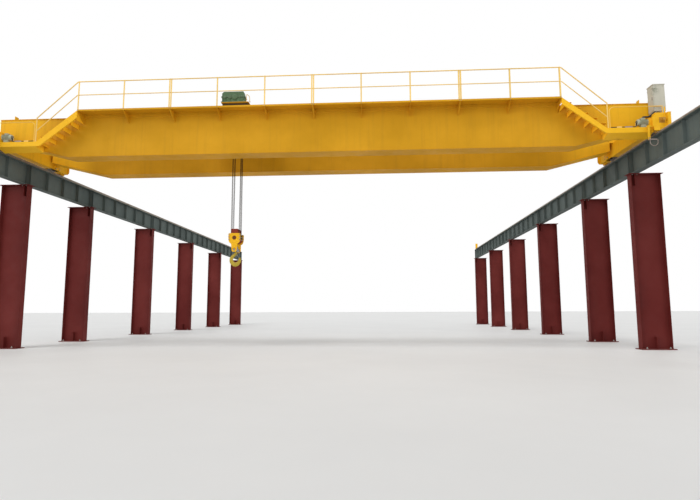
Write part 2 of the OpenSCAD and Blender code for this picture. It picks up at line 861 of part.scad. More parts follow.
// Brake drum and coupling between the gear case and the motor
module hoist_brake() {
    color(steel) at_trolley() {
        rod_y(motor_x, [case_y1 - 38, case_y1 + 200], drum_z, 60);
        rod_y(motor_x, [case_y1 + 30, case_y1 + 130], drum_z, 250);
        block([motor_x - 60, motor_x + 60], [case_y1 + 40, case_y1 + 120],
              [frame_top_z, drum_z - 100]);
    }
}

module hoist_motor() {
    y = [case_y1 + 200, case_y1 + 820];
    color(machine_green) at_trolley() {
        rod_y(motor_x, [y[0], y[0] + 25], drum_z, 2 * motor_r);
        rod_y(motor_x, [y[0] + 24, y[1] - 110], drum_z, 250);
        rod_y(motor_x, [y[1] - 111, y[1]], drum_z, 280);
        block([motor_x - 120, motor_x + 120], [y[0] + 60, y[1] - 170], [case_foot_z, drum_z]);
        block([motor_x - 70, motor_x + 70], [y[0] + 120, y[0] + 280], [drum_z + 100, drum_z + 190]);
    }
}

// Grooved drum: a groove for each turn of rope, in both halves
module rope_drum() {
    y = [case_y1 + 20, 520];
    r = drum_d / 2;
    rim = r + drum_flange;
    pitch = rope_d + 3;
    grooves = floor((y[1] - y[0] - 120) / pitch);
    g0 = y[0] + 60;
    depth = rope_d * 0.35;
    profile = concat(
        [[0, y[0]], [rim, y[0]], [rim, y[0] + 20], [r, y[0] + 20], [r, g0]],
        [for (i = [0:grooves - 1]) each [[r, g0 + i * pitch + 2],
                                         [r - depth, g0 + i * pitch + 7],
                                         [r - depth, g0 + i * pitch + pitch - 5],
                                         [r, g0 + (i + 1) * pitch]]],
        [[r, y[1] - 20], [rim, y[1] - 20], [rim, y[1]], [0, y[1]]]);
    color(steel) at_trolley() {
        translate([drum_x, 0, drum_z]) rotate([-90, 0, 0])
            rotate_extrude($fn = 72) polygon(profile);
        rod_y(drum_x, [case_y1 - 38, y[0] + 1], drum_z, 100);
        rod_y(drum_x, [y[1] - 1, y[1] + 110], drum_z, 100);
    }
}

// Stands on the trolley's deck: under the gear case, under the motor and at the drum's far end
module hoist_stands() {
    y = [550, 630];
    z = frame_top_z;
    color(crane_yellow) at_trolley() {
        block([case_x[0] - 25, case_x[1] + 160], [case_y0 - 20, case_y1],
              [case_foot_z - 30, case_foot_z]);
        block([case_x[0] + 15, case_x[1] + 120], [case_y0 + 20, case_y1 - 20],
              [z, case_foot_z - 29]);
        block([motor_x - 100, motor_x + 100], [case_y1 + 260, case_y1 + 650], [z, case_foot_z]);
        difference() {
            union() {
                block([drum_x - 200, drum_x + 200], [y[0] - 30, y[1] + 30], [z, z + 30]);
                along_y(y) polygon([[drum_x - 180, z + 29], [drum_x + 180, z + 29],
                                    [drum_x + 110, drum_z], [drum_x - 110, drum_z]]);
                rod_y(drum_x, y, drum_z, 220);
            }
            rod_y(drum_x, [y[0] - 1, y[1] + 1], drum_z, 100 + 2 * fit_gap);
        }
    }
}

// Rope sheave about Y: bore, hub, web and a rim with a round-bottomed groove
module sheave(bore) {
    rim = sheave_rim_r;
    seat = sheave_pitch_r - rope_d / 2 - fit_gap;
    half = rope_d / 2 + 18;
    hub = bore / 2 + 28;
    groove = rope_d / 2 + fit_gap;
    rotate([-90, 0, 0]) difference() {
        rotate_extrude($fn = 72)
            polygon([[bore / 2, -half], [hub, -half], [hub, -8], [seat - 22, -8],
                     [seat - 14, -half + 6], [rim - 4, -half], [rim, -half + 3],
                     [rim, half - 3], [rim - 4, half], [seat - 14, half - 6], [seat - 22, 8],
                     [hub, 8], [hub, half], [bore / 2, half]]);
        rotate_extrude($fn = 72) {
            translate([sheave_pitch_r, 0]) circle(r = groove, $fn = 24);
            polygon([[sheave_pitch_r, -groove], [rim + 1, -groove - 8], [rim + 1, groove + 8],
                     [sheave_pitch_r, groove]]);
        }
    }
}

module upper_sheaves() {
    color(steel) at_trolley() translate([0, 0, upper_z]) {
        rod_y(0, [-bearer_y - bearer_t - 15, bearer_y + bearer_t + 15], 0, upper_axle_d);
        for (y = [-sheave_gap, sheave_gap])
            translate([0, y, 0]) sheave(upper_axle_d - 2);
    }
}

// Rocker that evens out the two middle falls, under a bar between the axle's bearers
module equaliser() {
    x = sheave_pitch_r;
    color(crane_yellow) at_trolley() {
        block([x - 30, x + 30], [-bearer_y, bearer_y], [beam_z1 - 32, beam_z1 - 2]);
        block([x - 30, x + 30], [-12, 12], [upper_z + 69, beam_z1 - 31]);
        block([x - 14, x + 14], [-sheave_gap / 2 - 14, sheave_gap / 2 + 14],
              [upper_z, upper_z + 70]);
    }
}

// Eight taut falls hold the block: two from the drum, four from the upper sheaves and two
// from the equaliser
module fall(side, y, top_y, top_z) {
    x = side * sheave_pitch_r;
    rod([x, y, block_pin_z], [x, top_y, top_z], rope_d);
}

module drum_leads() {
    color(rope_grey) at_trolley()
        for (y = [sheave_ys[0], sheave_ys[3]]) fall(-1, y, y, drum_z);
}

module hoist_falls() {
    color(rope_grey) at_trolley()
        for (s = [-1, 1]) {
            fall(-1, s * sheave_gap / 2, s * sheave_gap, upper_z);
            fall(1, s * sheave_gap * 1.5, s * sheave_gap, upper_z);
            fall(1, s * sheave_gap / 2, s * sheave_gap / 2, upper_z);
        }
}

// Hook block

// Half outline of a side plate: a rounded head over a tapering strap
head_w = 220;
strap_w = 112;
strap_end_w = 85;
strap_z = -225;
plate_foot = -cross_dz - 75;

function plate_side() = concat(
    [[head_w - 30, block_top], [head_w, block_top - 25]],
    [for (a = [0:15:75]) [head_w - 75 * (1 - cos(a)), -10 - 190 * sin(a)]],
    [[strap_w + 6, strap_z], [strap_end_w, plate_foot + 30], [strap_end_w - 25, plate_foot]]);

module side_plate_outline() {
    right = plate_side();
    left = [for (p = reversed(right)) [-p[0], p[1]]];
    difference() {
        polygon(concat(right, left));
        circle(d = block_axle_d + 2 * fit_gap);
        translate([0, -cross_dz]) circle(d = 70 + 2 * fit_gap);
    }
}

module at_block() {
    at_trolley() translate([0, 0, block_pin_z]) children();
}

module block_plates() {
    color(crane_yellow) at_block() both_sides() {
        along_y([block_y, block_y + side_t]) side_plate_outline();
    }
}

module block_sheaves() {
    color(steel) at_block() {
        rod_y(0, [-block_y - side_t - 20, block_y + side_t + 20], 0, block_axle_d);
        for (y = sheave_ys)
            translate([0, y, 0]) sheave(block_axle_d - 2);
    }
}

// Guard: a curved sheet under the sheaves and a red hood between the falls
module block_guard() {
    r = sheave_rim_r + 22;
    hood = [-sheave_pitch_r + rope_d / 2 + 18, sheave_pitch_r - rope_d / 2 - 18];
    color(guard_red) at_block() {
        along_y([-block_y, block_y]) intersection() {
            difference() {
                circle(r = r, $fn = 72);
                circle(r = r - 8, $fn = 72);
            }
            translate([-r, -r]) square([2 * r, r - 40]);
        }
        difference() {
            block(hood, [-block_y - side_t, block_y + side_t], [block_top, block_top + 160]);
            block([hood[0] + 6, hood[1] - 6], [-block_y - side_t + 6, block_y + side_t - 6],
                  [block_top - 1, block_top + 154]);
        }
    }
}

// Crosshead that carries the hook, with a trunnion in each side plate
module block_crosshead() {
    z = -cross_dz;
    color(steel) at_block() difference() {
        union() {
            block([-75, 75], [-block_y + 6, block_y - 6], [z - cross_h / 2, z + cross_h / 2]);
            rod_y(0, [-block_y - side_t - 12, block_y + side_t + 12], z, 70);
        }
        translate([0, 0, z - cross_h]) cylinder(h = 2 * cross_h, d = shank_d + 2 * fit_gap);
    }
}

// Hook, from the block's pin: slices of a rounded section set along the hook's line

function hook_at(a, r) = [r * cos(a), -hook_dz + r * sin(a)];

// Each slice: place, turn, height and width of the section
function hook_slices() = concat(
    [[[0, -hook_dz + 275], 180, shank_d, shank_d],
     [[-11, -hook_dz + 228], 157, 92, 86],
     [[-46, -hook_dz + 176], 140, 108, 92]],
    [for (a = [130:20:270]) let (h = 118 + 45 * (a - 130) / 140)
        [hook_at(a, hook_r + h / 2), a, h, 96 + 12 * (a - 130) / 140]],
    [for (a = [290:20:370]) let (k = (a - 270) / 100, h = 163 - 78 * k)
        [hook_at(a, hook_r + h / 2), a, h, 108 - 40 * k]],
    [[hook_at(385, hook_r + 62), 405, 52, 44]]);

module hook_slice(s) {
    translate([s[0][0], 0, s[0][1]]) rotate([0, -s[1], 0])
        linear_extrude(2, center = true)
            polygon([for (a = [0:30:330])
                [s[2] / 2 * cos(a), s[3] / 2 * sin(a) * (1 - 0.22 * cos(a))]]);
}

module hook() {
    slices = hook_slices();
    color(crane_yellow) at_block() difference() {
        union() {
            translate([0, 0, -hook_dz + 274])
                cylinder(h = hook_dz - 274 - cross_dz + cross_h / 2 + 80, d = shank_d, $fn = 32);
            for (i = [0:len(slices) - 2])
                hull() {
                    hook_slice(slices[i]);
                    hook_slice(slices[i + 1]);
                }
            block([0, latch_x + 14], [-8, 8], [latch_z - 14, latch_z + 40]);
        }
        rod_y(latch_x, [-20, 20], latch_z, latch_pin_d + 2);
    }
}

module hook_nut() {
    z = -cross_dz + cross_h / 2;
    color(steel) at_block() translate([0, 0, z]) difference() {
        union() {
            translate([0, 0, seat_gap]) cylinder(h = 25, d = 150);
            translate([0, 0, 24]) cylinder(h = 50, d = 140, $fn = 6);
        }
        translate([0, 0, -1]) cylinder(h = 100, d = shank_d + 2 * fit_gap);
    }
}

// Sprung latch across the hook's mouth, forked over the lug
module hook_latch() {
    color(steel) at_block() translate([latch_x, 0, latch_z]) {
        rod_y(0, [-24, 24], 0, latch_pin_d);
        both_sides() along_y([13, 19]) {
            circle(d = 26);
            rotate(-60) translate([0, -9]) square([52, 14]);
        }
        rotate([0, 60, 0]) block([40, latch_l], [-16, 16], [-4, 2]);
    }
}

// Nodes

base_plates();
columns(-1);  // columns_left
columns(1);  // columns_right
runway_girders(-1);  // runway_girders_left
runway_girders(1);  // runway_girders_right
crane_rails();
end_stops();
box_girder(-girder_half);  // girder_front
box_girder(girder_half);  // girder_rear
trolley_rails();
trolley_stops();
end_trucks();
travel_wheels();
bearing_housings();
truck_buffers();
travel_gearboxes();
travel_motors();
walkway_deck();
walkway_brackets();
walkway_handrail();
end_stairs();
stair_rails();
end_platforms();
guard_rails();
control_cabinet();
collector_bracket();
trolley_frame();
trolley_wheels();
trolley_drive();
hoist_gear_case();
hoist_motor();
hoist_brake();
rope_drum();
hoist_stands();
upper_sheaves();
equaliser();
drum_leads();
hoist_falls();
block_plates();
block_sheaves();
block_guard();
block_crosshead();
hook();
hook_nut();
hook_latch();
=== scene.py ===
"""Looks of the overhead bridge crane: paint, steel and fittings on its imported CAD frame."""

from itertools import product
from math import cos, pi, radians, sin

import bpy
from bpy.props import FloatProperty, FloatVectorProperty, IntProperty, PointerProperty
from mathutils import Matrix, Vector


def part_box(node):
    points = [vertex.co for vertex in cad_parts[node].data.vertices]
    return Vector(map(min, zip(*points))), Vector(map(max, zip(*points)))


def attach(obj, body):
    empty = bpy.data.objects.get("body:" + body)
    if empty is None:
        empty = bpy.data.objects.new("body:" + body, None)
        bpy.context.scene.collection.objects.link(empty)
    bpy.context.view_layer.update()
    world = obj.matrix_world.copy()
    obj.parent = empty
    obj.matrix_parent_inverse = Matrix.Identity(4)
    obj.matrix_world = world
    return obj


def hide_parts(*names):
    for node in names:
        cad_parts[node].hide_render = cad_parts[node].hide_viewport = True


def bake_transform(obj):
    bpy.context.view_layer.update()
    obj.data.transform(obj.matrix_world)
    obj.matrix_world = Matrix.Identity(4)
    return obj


bl_info = {
    "name": "Overhead bridge crane",
    "version": (1, 0, 0),
    "blender": (4, 5, 0),
    "location": "View3D > Sidebar > Crane",
    "description": "Dresses the packed bridge crane with its paint, steel and fittings",
    "category": "Object",
}

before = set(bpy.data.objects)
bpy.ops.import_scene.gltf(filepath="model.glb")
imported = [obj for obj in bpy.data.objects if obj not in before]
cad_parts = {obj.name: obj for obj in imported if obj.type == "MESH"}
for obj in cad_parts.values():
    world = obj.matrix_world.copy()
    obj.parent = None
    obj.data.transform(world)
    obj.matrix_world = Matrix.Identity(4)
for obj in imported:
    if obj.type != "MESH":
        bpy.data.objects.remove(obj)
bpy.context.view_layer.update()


def middle(node, axis):
    """Middle of a node's box along an axis."""
    low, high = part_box(node)
    return (getattr(low, axis) + getattr(high, axis)) / 2


# Directions, and the two sides or ends of what is symmetric
UP, DOWN, BOTH = (0, 0, 1), (0, 0, -1), (-1, 1)

# Runway. Sizes are in metres, here and below. The second of its six bays is a short one
RUNWAY_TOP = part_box("runway_girders_right")[1].z
RUNWAY_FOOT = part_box("runway_girders_right")[0].z
CRANE_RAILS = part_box("crane_rails")
CRANE_RAIL_FOOT = 0.065
RUNWAY_FLANGE, COLUMN_CAP = 0.016, 0.02
COLUMN_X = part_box("base_plates")[1].x - 0.57
COLUMN_D = 1.02
BAY, SHORT_BAY = 6.4, 4.25
COLUMN_Y0 = -(BAY * 5 + SHORT_BAY) / 2
COLUMN_YS = [COLUMN_Y0, COLUMN_Y0 + BAY] + [
    COLUMN_Y0 + BAY + SHORT_BAY + i * BAY for i in range(5)
]
ANCHOR_X, ANCHOR_Y = 0.384, 0.19
SEAT_BOLT_R = 0.012

# Box girders
GIRDER_FRONT, GIRDER_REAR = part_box("girder_front"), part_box("girder_rear")
BRIDGE_Y = (GIRDER_FRONT[0].y + GIRDER_REAR[1].y) / 2
GIRDER_FOOT, GIRDER_TOP = GIRDER_FRONT[0].z, GIRDER_FRONT[1].z
GIRDER_LIP = 0.03
GIRDER_FLANGE = 0.014
KINK_X = 8.745
WEB_SEAMS = (-7.35, -3.65, 0.05, 3.75, 7.4)
FLANGE_SEAMS = (-5.5, 1.9, 6.1)
TROLLEY_RAIL_FOOT = 0.05

# End trucks and travel drives
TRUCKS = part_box("end_trucks")
TRUCK_W = 0.4
RAIL_X = TRUCKS[1].x - TRUCK_W / 2
TRUCK_IN_X = TRUCKS[1].x - TRUCK_W
TRUCK_HALF = TRUCKS[1].y - BRIDGE_Y
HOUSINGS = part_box("bearing_housings")
HOUSING_T, HOUSING_COVER = 0.07, 0.025
HOUSING_S = HOUSINGS[1].z - HOUSINGS[0].z
AXLE_Z = (HOUSINGS[0].z + HOUSINGS[1].z) / 2
WHEEL_Y = HOUSINGS[1].y - BRIDGE_Y - HOUSING_S / 2
MANHOLE_Y, MANHOLE_Z = 0.62, 7.40
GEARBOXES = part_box("travel_gearboxes")
DRIVE_Y = (GEARBOXES[0].y + GEARBOXES[1].y) / 2
DRIVE_Z = GEARBOXES[1].z - 0.18
DRIVE_X0 = GEARBOXES[1].x - 0.095
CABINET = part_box("control_cabinet")

# Walkway, stairs and platforms
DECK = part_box("walkway_deck")
WALK_Y, WALK_Z, WALK_HALF = DECK[0].y, DECK[1].z - 0.02, DECK[1].x
POST_BAYS = 10
DOUBLE_POSTS, POST_PAIR = (2, 5, 8), (-0.03, 0.03)
TOP_RAIL_R, MID_RAIL_R = 0.018, 0.015
TOP_RAIL_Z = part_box("walkway_handrail")[1].z - TOP_RAIL_R
MID_RAIL_Z = WALK_Z + 0.53 * (TOP_RAIL_Z - WALK_Z)
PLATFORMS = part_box("end_platforms")
PLATFORM_Z = PLATFORMS[1].z
FASCIA_Z = PLATFORMS[0].z
STAIR_X1 = PLATFORMS[1].x - 1.43
STAIR_INNER_Y = BRIDGE_Y - 1.482
STAIR_LEVELS = 5
STAIR_SHIFTS = ((-1, 0.0), (1, 0.12))
TREAD_RUN = 0.2665
STAIR_PLATE = 0.008

# Trolley, hoist and hook block
HOOK_X = middle("trolley_frame", "x")
FRAME_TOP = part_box("trolley_frame")[1].z
FRAME_HALF_X, FRAME_HALF_Y = 1.25, 1.09
TROLLEY_AXLE_Z = middle("trolley_wheels", "z")
TROLLEY_WHEEL_X = 0.85
DRUM_X, DRUM_Z = middle("rope_drum", "x"), middle("rope_drum", "z")
DRUM_R = 0.18
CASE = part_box("hoist_gear_case")
CASE_FOOT = CASE[0].z
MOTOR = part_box("hoist_motor")
MOTOR_X = middle("hoist_motor", "x")
BRAKE_R = 0.125
UPPER_Z = middle("upper_sheaves", "z")
PIN_Z = middle("block_sheaves", "z")
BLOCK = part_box("block_plates")
SHEAVE_R, SHEAVE_GAP = 0.145, 0.11
ROPE_R = 0.009
FALL_STEPS = 32
LATCH_X, LATCH_Z = HOOK_X + 0.044, PIN_Z - 0.607

# Rust on the front girder's underside, as places with a radius, and the level on the hoist's stands
# below which painted shade darkens their bodies
RUST_MARKS = [(x, BRIDGE_Y - 1.4, z, 0.28) for x, z in ((-9.45, 6.78), (10.08, 6.93))]
STAND_SHADE_LINE = (8.895, 8.925)


# Settings that a user would change


def colour(name, description, value):
    return FloatVectorProperty(name=name, description=description, default=value,
                               subtype="COLOR", size=3, min=0, max=1)


def length(name, description, value, low, high):
    return FloatProperty(name=name, description=description, default=value,
                         min=low, max=high, unit="LENGTH")


def number(name, description, value, low, high):
    return IntProperty(name=name, description=description, default=value, min=low, max=high)


def strength(name, description, value, high=5):
    return FloatProperty(name=name, description=description, default=value, min=0, max=high)


class CraneColours(bpy.types.PropertyGroup):
    """Colours of the crane's paints and metals"""

    crane: colour("Crane yellow", "Paint of the bridge and trolley", (0.66, 0.325, 0.006))
    # Brighter than the crane yellow: partly fresher paint, partly painted light
    stairs: colour("Stair yellow", "Paint of the stairs and platforms", (0.92, 0.50, 0.015))
    hook: colour("Hook yellow", "Paint of the hook", (0.50, 0.37, 0.045))
    rail: colour("Handrail yellow", "Paint of the handrails", (0.92, 0.63, 0.19))
    column: colour("Column maroon", "Paint of the columns", (0.135, 0.014, 0.012))
    runway: colour("Runway grey", "Paint of the runway girders", (0.112, 0.138, 0.130))
    steel: colour("Steel", "Trolley rails, wheels and shafts", (0.30, 0.28, 0.26))
    track: colour("Rail steel", "Crane rails", (0.42, 0.37, 0.31))
    machine: colour("Machine green", "Gear case and hoist motor", (0.125, 0.215, 0.115))
    # Paler than the machine green: partly the motors' own paint, partly painted light from above
    motor: colour("Motor green", "Travel motors", (0.47, 0.50, 0.37))
    cabinet: colour("Cabinet grey", "Control cabinet", (0.53, 0.51, 0.42))
    guard: colour("Guard red", "Guard of the hook block", (0.30, 0.045, 0.028))
    buffer: colour("Buffer amber", "Polyurethane buffers", (0.55, 0.27, 0.025))
    rope: colour("Rope brown", "Greased wire ropes", (0.034, 0.018, 0.009))
    black: colour("Black", "Conduits, glands and dark fittings", (0.02, 0.02, 0.02))
    rust: colour("Rust", "Rust and primer showing through", (0.33, 0.10, 0.02))


class CraneSizes(bpy.types.PropertyGroup):
    """Sizes of the fittings"""

    anchor_r: length("Anchor bolt radius", "Radius of the foundation bolts",
                     0.0165, 0.008, 0.0175)
    clip_pitch: length("Rail clip pitch", "Distance between the clips along a rail",
                       0.62, 0.3, 1.2)
    bead: length("Weld bead", "Width of a weld bead", 0.010, 0.004, 0.02)
    tread_pitch: length("Tread plate pitch", "Distance between the tread plate's ridges",
                        0.055, 0.03, 0.1)
    fins: number("Motor fins", "Number of cooling fins round a motor", 28, 12, 48)
    strands: number("Rope sides", "Number of sides of a modelled rope", 8, 6, 16)


class CraneStage(bpy.types.PropertyGroup):
    """Floor, light and camera"""

    floor: colour("Floor", "Colour of the floor", (0.80, 0.80, 0.79))
    sun: strength("Sun", "Strength of the key light", 1.1)
    fill_left: strength("Left fill", "Strength of the fill light from the front left", 1.25)
    fill_right: strength("Right fill", "Strength of the fill light from the front right", 1.1)
    sky: strength("Sky", "Strength of the even light all round", 0.50, 3)


# Mesh building


def axes_of(direction):
    """Two unit axes across a direction, and the direction itself, right-handed."""
    w = Vector(direction).normalized()
    side = Vector((0, 0, 1)) if abs(w.z) < 0.9 else Vector((1, 0, 0))
    u = side.cross(w).normalized()
    return u, w.cross(u), w


def around(count, start=0):
    """Cosine and sine of evenly spaced angles, from start in degrees."""
    angles = [radians(a) for a in range(start, start + 360, 360 // count)]
    return [(cos(a), sin(a)) for a in angles]


def arc(centre, r, start, end, steps):
    """Points on an arc in the plane of X and Z, with angles in degrees."""
    x, y, z = centre
    angles = [radians(start + (end - start) * i / steps) for i in range(steps + 1)]
    return [(x + r * cos(a), y, z + r * sin(a)) for a in angles]


def smooth_path(points, steps=6):
    """A path through points, rounded at its corners."""
    points = [Vector(p) for p in points]
    out = [points[0]]
    for a, b, c in zip(points, points[1:], points[2:]):
        cut = min((b - a).length, (c - b).length) * 0.45
        start = b + (a - b).normalized() * min(cut, 0.09)
        end = b + (c - b).normalized() * min(cut, 0.09)
        for i in range(steps + 1):
            t = i / steps
            out.append(start * (1 - t) ** 2 + b * 2 * t * (1 - t) + end * t ** 2)
    return out + [points[-1]]


class Piece:
    """Faces of one piece, each with the name of its finish."""

    def __init__(self, finish):
        self.finish = finish
        self.points, self.faces, self.finishes = [], [], []

    def add(self, points, faces, finish=None):
        """Adds faces that point into their own list of points."""
        first = len(self.points)
        self.points += [Vector(p) for p in points]
        self.faces += [[first + i for i in face] for face in faces]
        self.finishes += [finish or self.finish] * len(faces)

    def loft(self, rings, finish=None):
        """Skins a row of rings of equally many points and closes its ends."""
        n = len(rings[0])
        faces = []
        for k in range(len(rings) - 1):
            for i in range(n):
                j = (i + 1) % n
                faces.append([k * n + i, k * n + j, (k + 1) * n + j, (k + 1) * n + i])
        faces.append(list(range(n))[::-1])
        faces.append([(len(rings) - 1) * n + i for i in range(n)])
        self.add([p for ring in rings for p in ring], faces, finish)

    def block(self, corner, opposite, finish=None, edge=0.0):
        """A box between opposite corners, whose upright edges are cut off by edge."""
        (x0, x1), (y0, y1), (z0, z1) = map(sorted, zip(corner, opposite))
        if edge:
            ring = [(x0 + edge, y0), (x1 - edge, y0), (x1, y0 + edge), (x1, y1 - edge),
                    (x1 - edge, y1), (x0 + edge, y1), (x0, y1 - edge), (x0, y0 + edge)]
        else:
            ring = [(x0, y0), (x1, y0), (x1, y1), (x0, y1)]
        self.loft([[(x, y, z) for x, y in ring] for z in (z0, z1)], finish)

    def lathe(self, centre, axis, profile, sides=24, finish=None):
        """Turns a profile of (distance along the axis, radius) round an axis."""
        u, v, w = axes_of(axis)
        turns = [2 * pi * i / sides for i in range(sides)]
        self.loft([[Vector(centre) + w * along + (u * cos(a) + v * sin(a)) * r for a in turns]
                   for along, r in profile], finish)

    def disc(self, centre, axis, depth, r, rim, rim_r, sides=28, finish=None):
        """A round cap of a depth, whose edge is broken down to a smaller radius."""
        self.lathe(centre, axis, [(0, r), (depth, r), (rim, rim_r)], sides, finish)

    def rod(self, start, end, r, sides=12, finish=None):
        """A round bar with slightly broken ends."""
        start, end = Vector(start), Vector(end)
        long = (end - start).length
        cut = min(r * 0.15, long * 0.2)
        self.lathe(start, end - start, [(0, r - cut), (cut, r), (long - cut, r), (long, r - cut)],
                   sides, finish)

    def bolt(self, foot, axis, r, stud=0.0, washer=True, finish="bolt"):
        """A hexagon head or nut on its washer, with a stud's end standing out."""
        z, h = 0.0, r * 1.3
        if washer:
            z = r * 0.3
            self.lathe(foot, axis, [(0, r * 1.9), (z, r * 1.9)], 16, finish)
        self.lathe(foot, axis, [(z, r * 1.55), (z + h * 0.85, r * 1.7), (z + h, r * 1.45)], 6,
                   finish)
        if stud:
            self.lathe(foot, axis, [(z + h * 0.9, r), (z + h + stud - r * 0.2, r),
                                    (z + h + stud, r * 0.8)], 10, finish)

    def screw(self, foot, axis, r, stud=0.0, finish="bolt"):
        """A bolt without a washer."""
        self.bolt(foot, axis, r, stud, False, finish)

    def tube(self, path, r, sides=8, finish=None):
        """A round tube along a path of points."""
        path = [Vector(p) for p in path]
        last = len(path) - 1
        turns = [2 * pi * i / sides for i in range(sides)]
        u = axes_of(path[min(1, last)] - path[0])[0]
        rings = []
        for i, p in enumerate(path):
            t = (path[min(i + 1, last)] - path[max(i - 1, 0)]).normalized()
            u = (u - t * u.dot(t)).normalized()
            v = t.cross(u)
            rings.append([p + (u * cos(a) + v * sin(a)) * r for a in turns])
        self.loft(rings, finish)

    def extrude(self, outline, origin, u, v, depth, finish=None):
        """An outline in the axes u and v, drawn out along the vector depth."""
        origin, u, v, depth = map(Vector, (origin, u, v, depth))
        ring = [origin + u * a + v * b for a, b in outline]
        if u.cross(v).dot(depth) < 0:
            ring.reverse()
        self.loft([ring, [p + depth for p in ring]], finish)

    def bead(self, start, end, out_a, out_b, width):
        """A fillet weld in the corner between two faces, given by their outward directions."""
        a, b = Vector(out_a) * width, Vector(out_b) * width
        self.run([Vector((0, 0, 0)), a, (a + b) * 0.62, b], start, end, a.cross(b))

    def butt_bead(self, start, end, across, out, width):
        """A flat butt weld standing a little proud of a plate."""
        across, out = Vector(across), Vector(out)
        rise = out * width * 0.3
        self.run([across * -width, across * -width * 0.5 + rise,
                  across * width * 0.5 + rise, across * width], start, end, across.cross(out))

    def run(self, ring, start, end, normal):
        """A section drawn out from start to end, its faces turned outwards."""
        start, end = Vector(start), Vector(end)
        if normal.dot(end - start) < 0:
            ring = ring[::-1]
        self.loft([[start + p for p in ring], [end + p for p in ring]])

    def build(self, name, body, bevel=0.0):
        """Makes the object, with its finishes, riding on a body, or baked in place when it is given
        no single body.
        """
        if not self.faces:
            raise RuntimeError(f"{name} has no faces")
        mesh = bpy.data.meshes.new(name)
        mesh.from_pydata(self.points, [], self.faces)
        finishes = list(dict.fromkeys(self.finishes))
        for finish in finishes:
            mesh.materials.append(MATERIALS[finish])
        for face, finish in zip(mesh.polygons, self.finishes):
            face.material_index = finishes.index(finish)
            face.use_smooth = True
        mesh.set_sharp_from_angle(angle=radians(35))
        piece = bpy.data.objects.new(name, mesh)
        bpy.context.scene.collection.objects.link(piece)
        if bevel:
            modifier = piece.modifiers.new("Broken edges", "BEVEL")
            modifier.width = bevel
            modifier.segments = 1
            modifier.limit_method = "ANGLE"
            modifier.angle_limit = radians(50)
        if isinstance(body, str):
            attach(piece, body)
        else:
            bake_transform(piece)
        return piece


# Materials


class Finish:
    """A node material that is built up from the shader's own sockets."""

    def __init__(self, name):
        self.material = bpy.data.materials.new(name)
        self.material.use_nodes = True
        self.tree = self.material.node_tree
        self.shader = self.tree.nodes["Principled BSDF"]
        self.place = self.node("ShaderNodeTexCoord").outputs["Object"]

    def node(self, kind, **values):
        made = self.tree.nodes.new(kind)
        for key, value in values.items():
            setattr(made, key, value)
        return made

    def put(self, value, socket):
        """Links a socket to another one, or sets it to a number or a plain colour."""
        if isinstance(value, bpy.types.NodeSocket):
            self.tree.links.new(value, socket)
        else:
            socket.default_value = (*value, 1) if isinstance(value, tuple) else value

    def stretched(self, x, y, z):
        """Places with each axis scaled, for streaks and grain."""
        mapping = self.node("ShaderNodeMapping")
        mapping.inputs["Scale"].default_value = (x, y, z)
        self.put(self.place, mapping.inputs["Vector"])
        return mapping.outputs["Vector"]

    def noise(self, scale, detail=4.0, roughness=0.55, place=None):
        made = self.node("ShaderNodeTexNoise")
        for key, value in (("Scale", scale), ("Detail", detail), ("Roughness", roughness),
                           ("Vector", place or self.place)):
            self.put(value, made.inputs[key])
        return made.outputs["Fac"]

    def spread(self, value, low, high, out_low=0.0, out_high=1.0):
        """Maps a range of values to another one, with clamped ends."""
        made = self.node("ShaderNodeMapRange", clamp=True)
        for key, known in (("From Min", low), ("From Max", high), ("To Min", out_low),
                           ("To Max", out_high), ("Value", value)):
            self.put(known, made.inputs[key])
        return made.outputs["Result"]

    def math(self, operation, a, b):
        made = self.node("ShaderNodeMath", operation=operation)
        self.put(a, made.inputs[0])
        self.put(b, made.inputs[1])
        return made.outputs[0]

    def mix(self, factor, a, b):
        """Mixes two colours, each a socket or a plain colour."""
        made = self.node("ShaderNodeMix", data_type="RGBA")
        for index, value in ((0, factor), (6, a), (7, b)):
            self.put(value, made.inputs[index])
        return made.outputs[2]

    def part(self, vector, axis):
        """One axis of a vector, such as how high a place is or how far a face looks up."""
        split = self.node("ShaderNodeSeparateXYZ")
        self.put(vector, split.inputs[0])
        return split.outputs[axis]

    def bump(self, *layers):
        """Bumps from (height, strength, distance), the coarsest first."""
        last = None
        for height, amount, distance in layers:
            made = self.node("ShaderNodeBump")
            made.inputs["Strength"].default_value = amount
            made.inputs["Distance"].default_value = distance
            self.put(height, made.inputs["Height"])
            if last:
                self.put(last, made.inputs["Normal"])
            last = made.outputs["Normal"]
        self.put(last, self.shader.inputs["Normal"])

    def finish(self, base, roughness):
        self.put(base, self.shader.inputs["Base Color"])
        self.put(roughness, self.shader.inputs["Roughness"])
        return self.material


def shade(base, k):
    """A colour made darker or lighter."""
    return tuple(min(1.0, c * k) for c in base)


def toward(base, other, k):
    """A colour moved towards another one."""
    return tuple(a + (b - a) * k for a, b in zip(base, other))


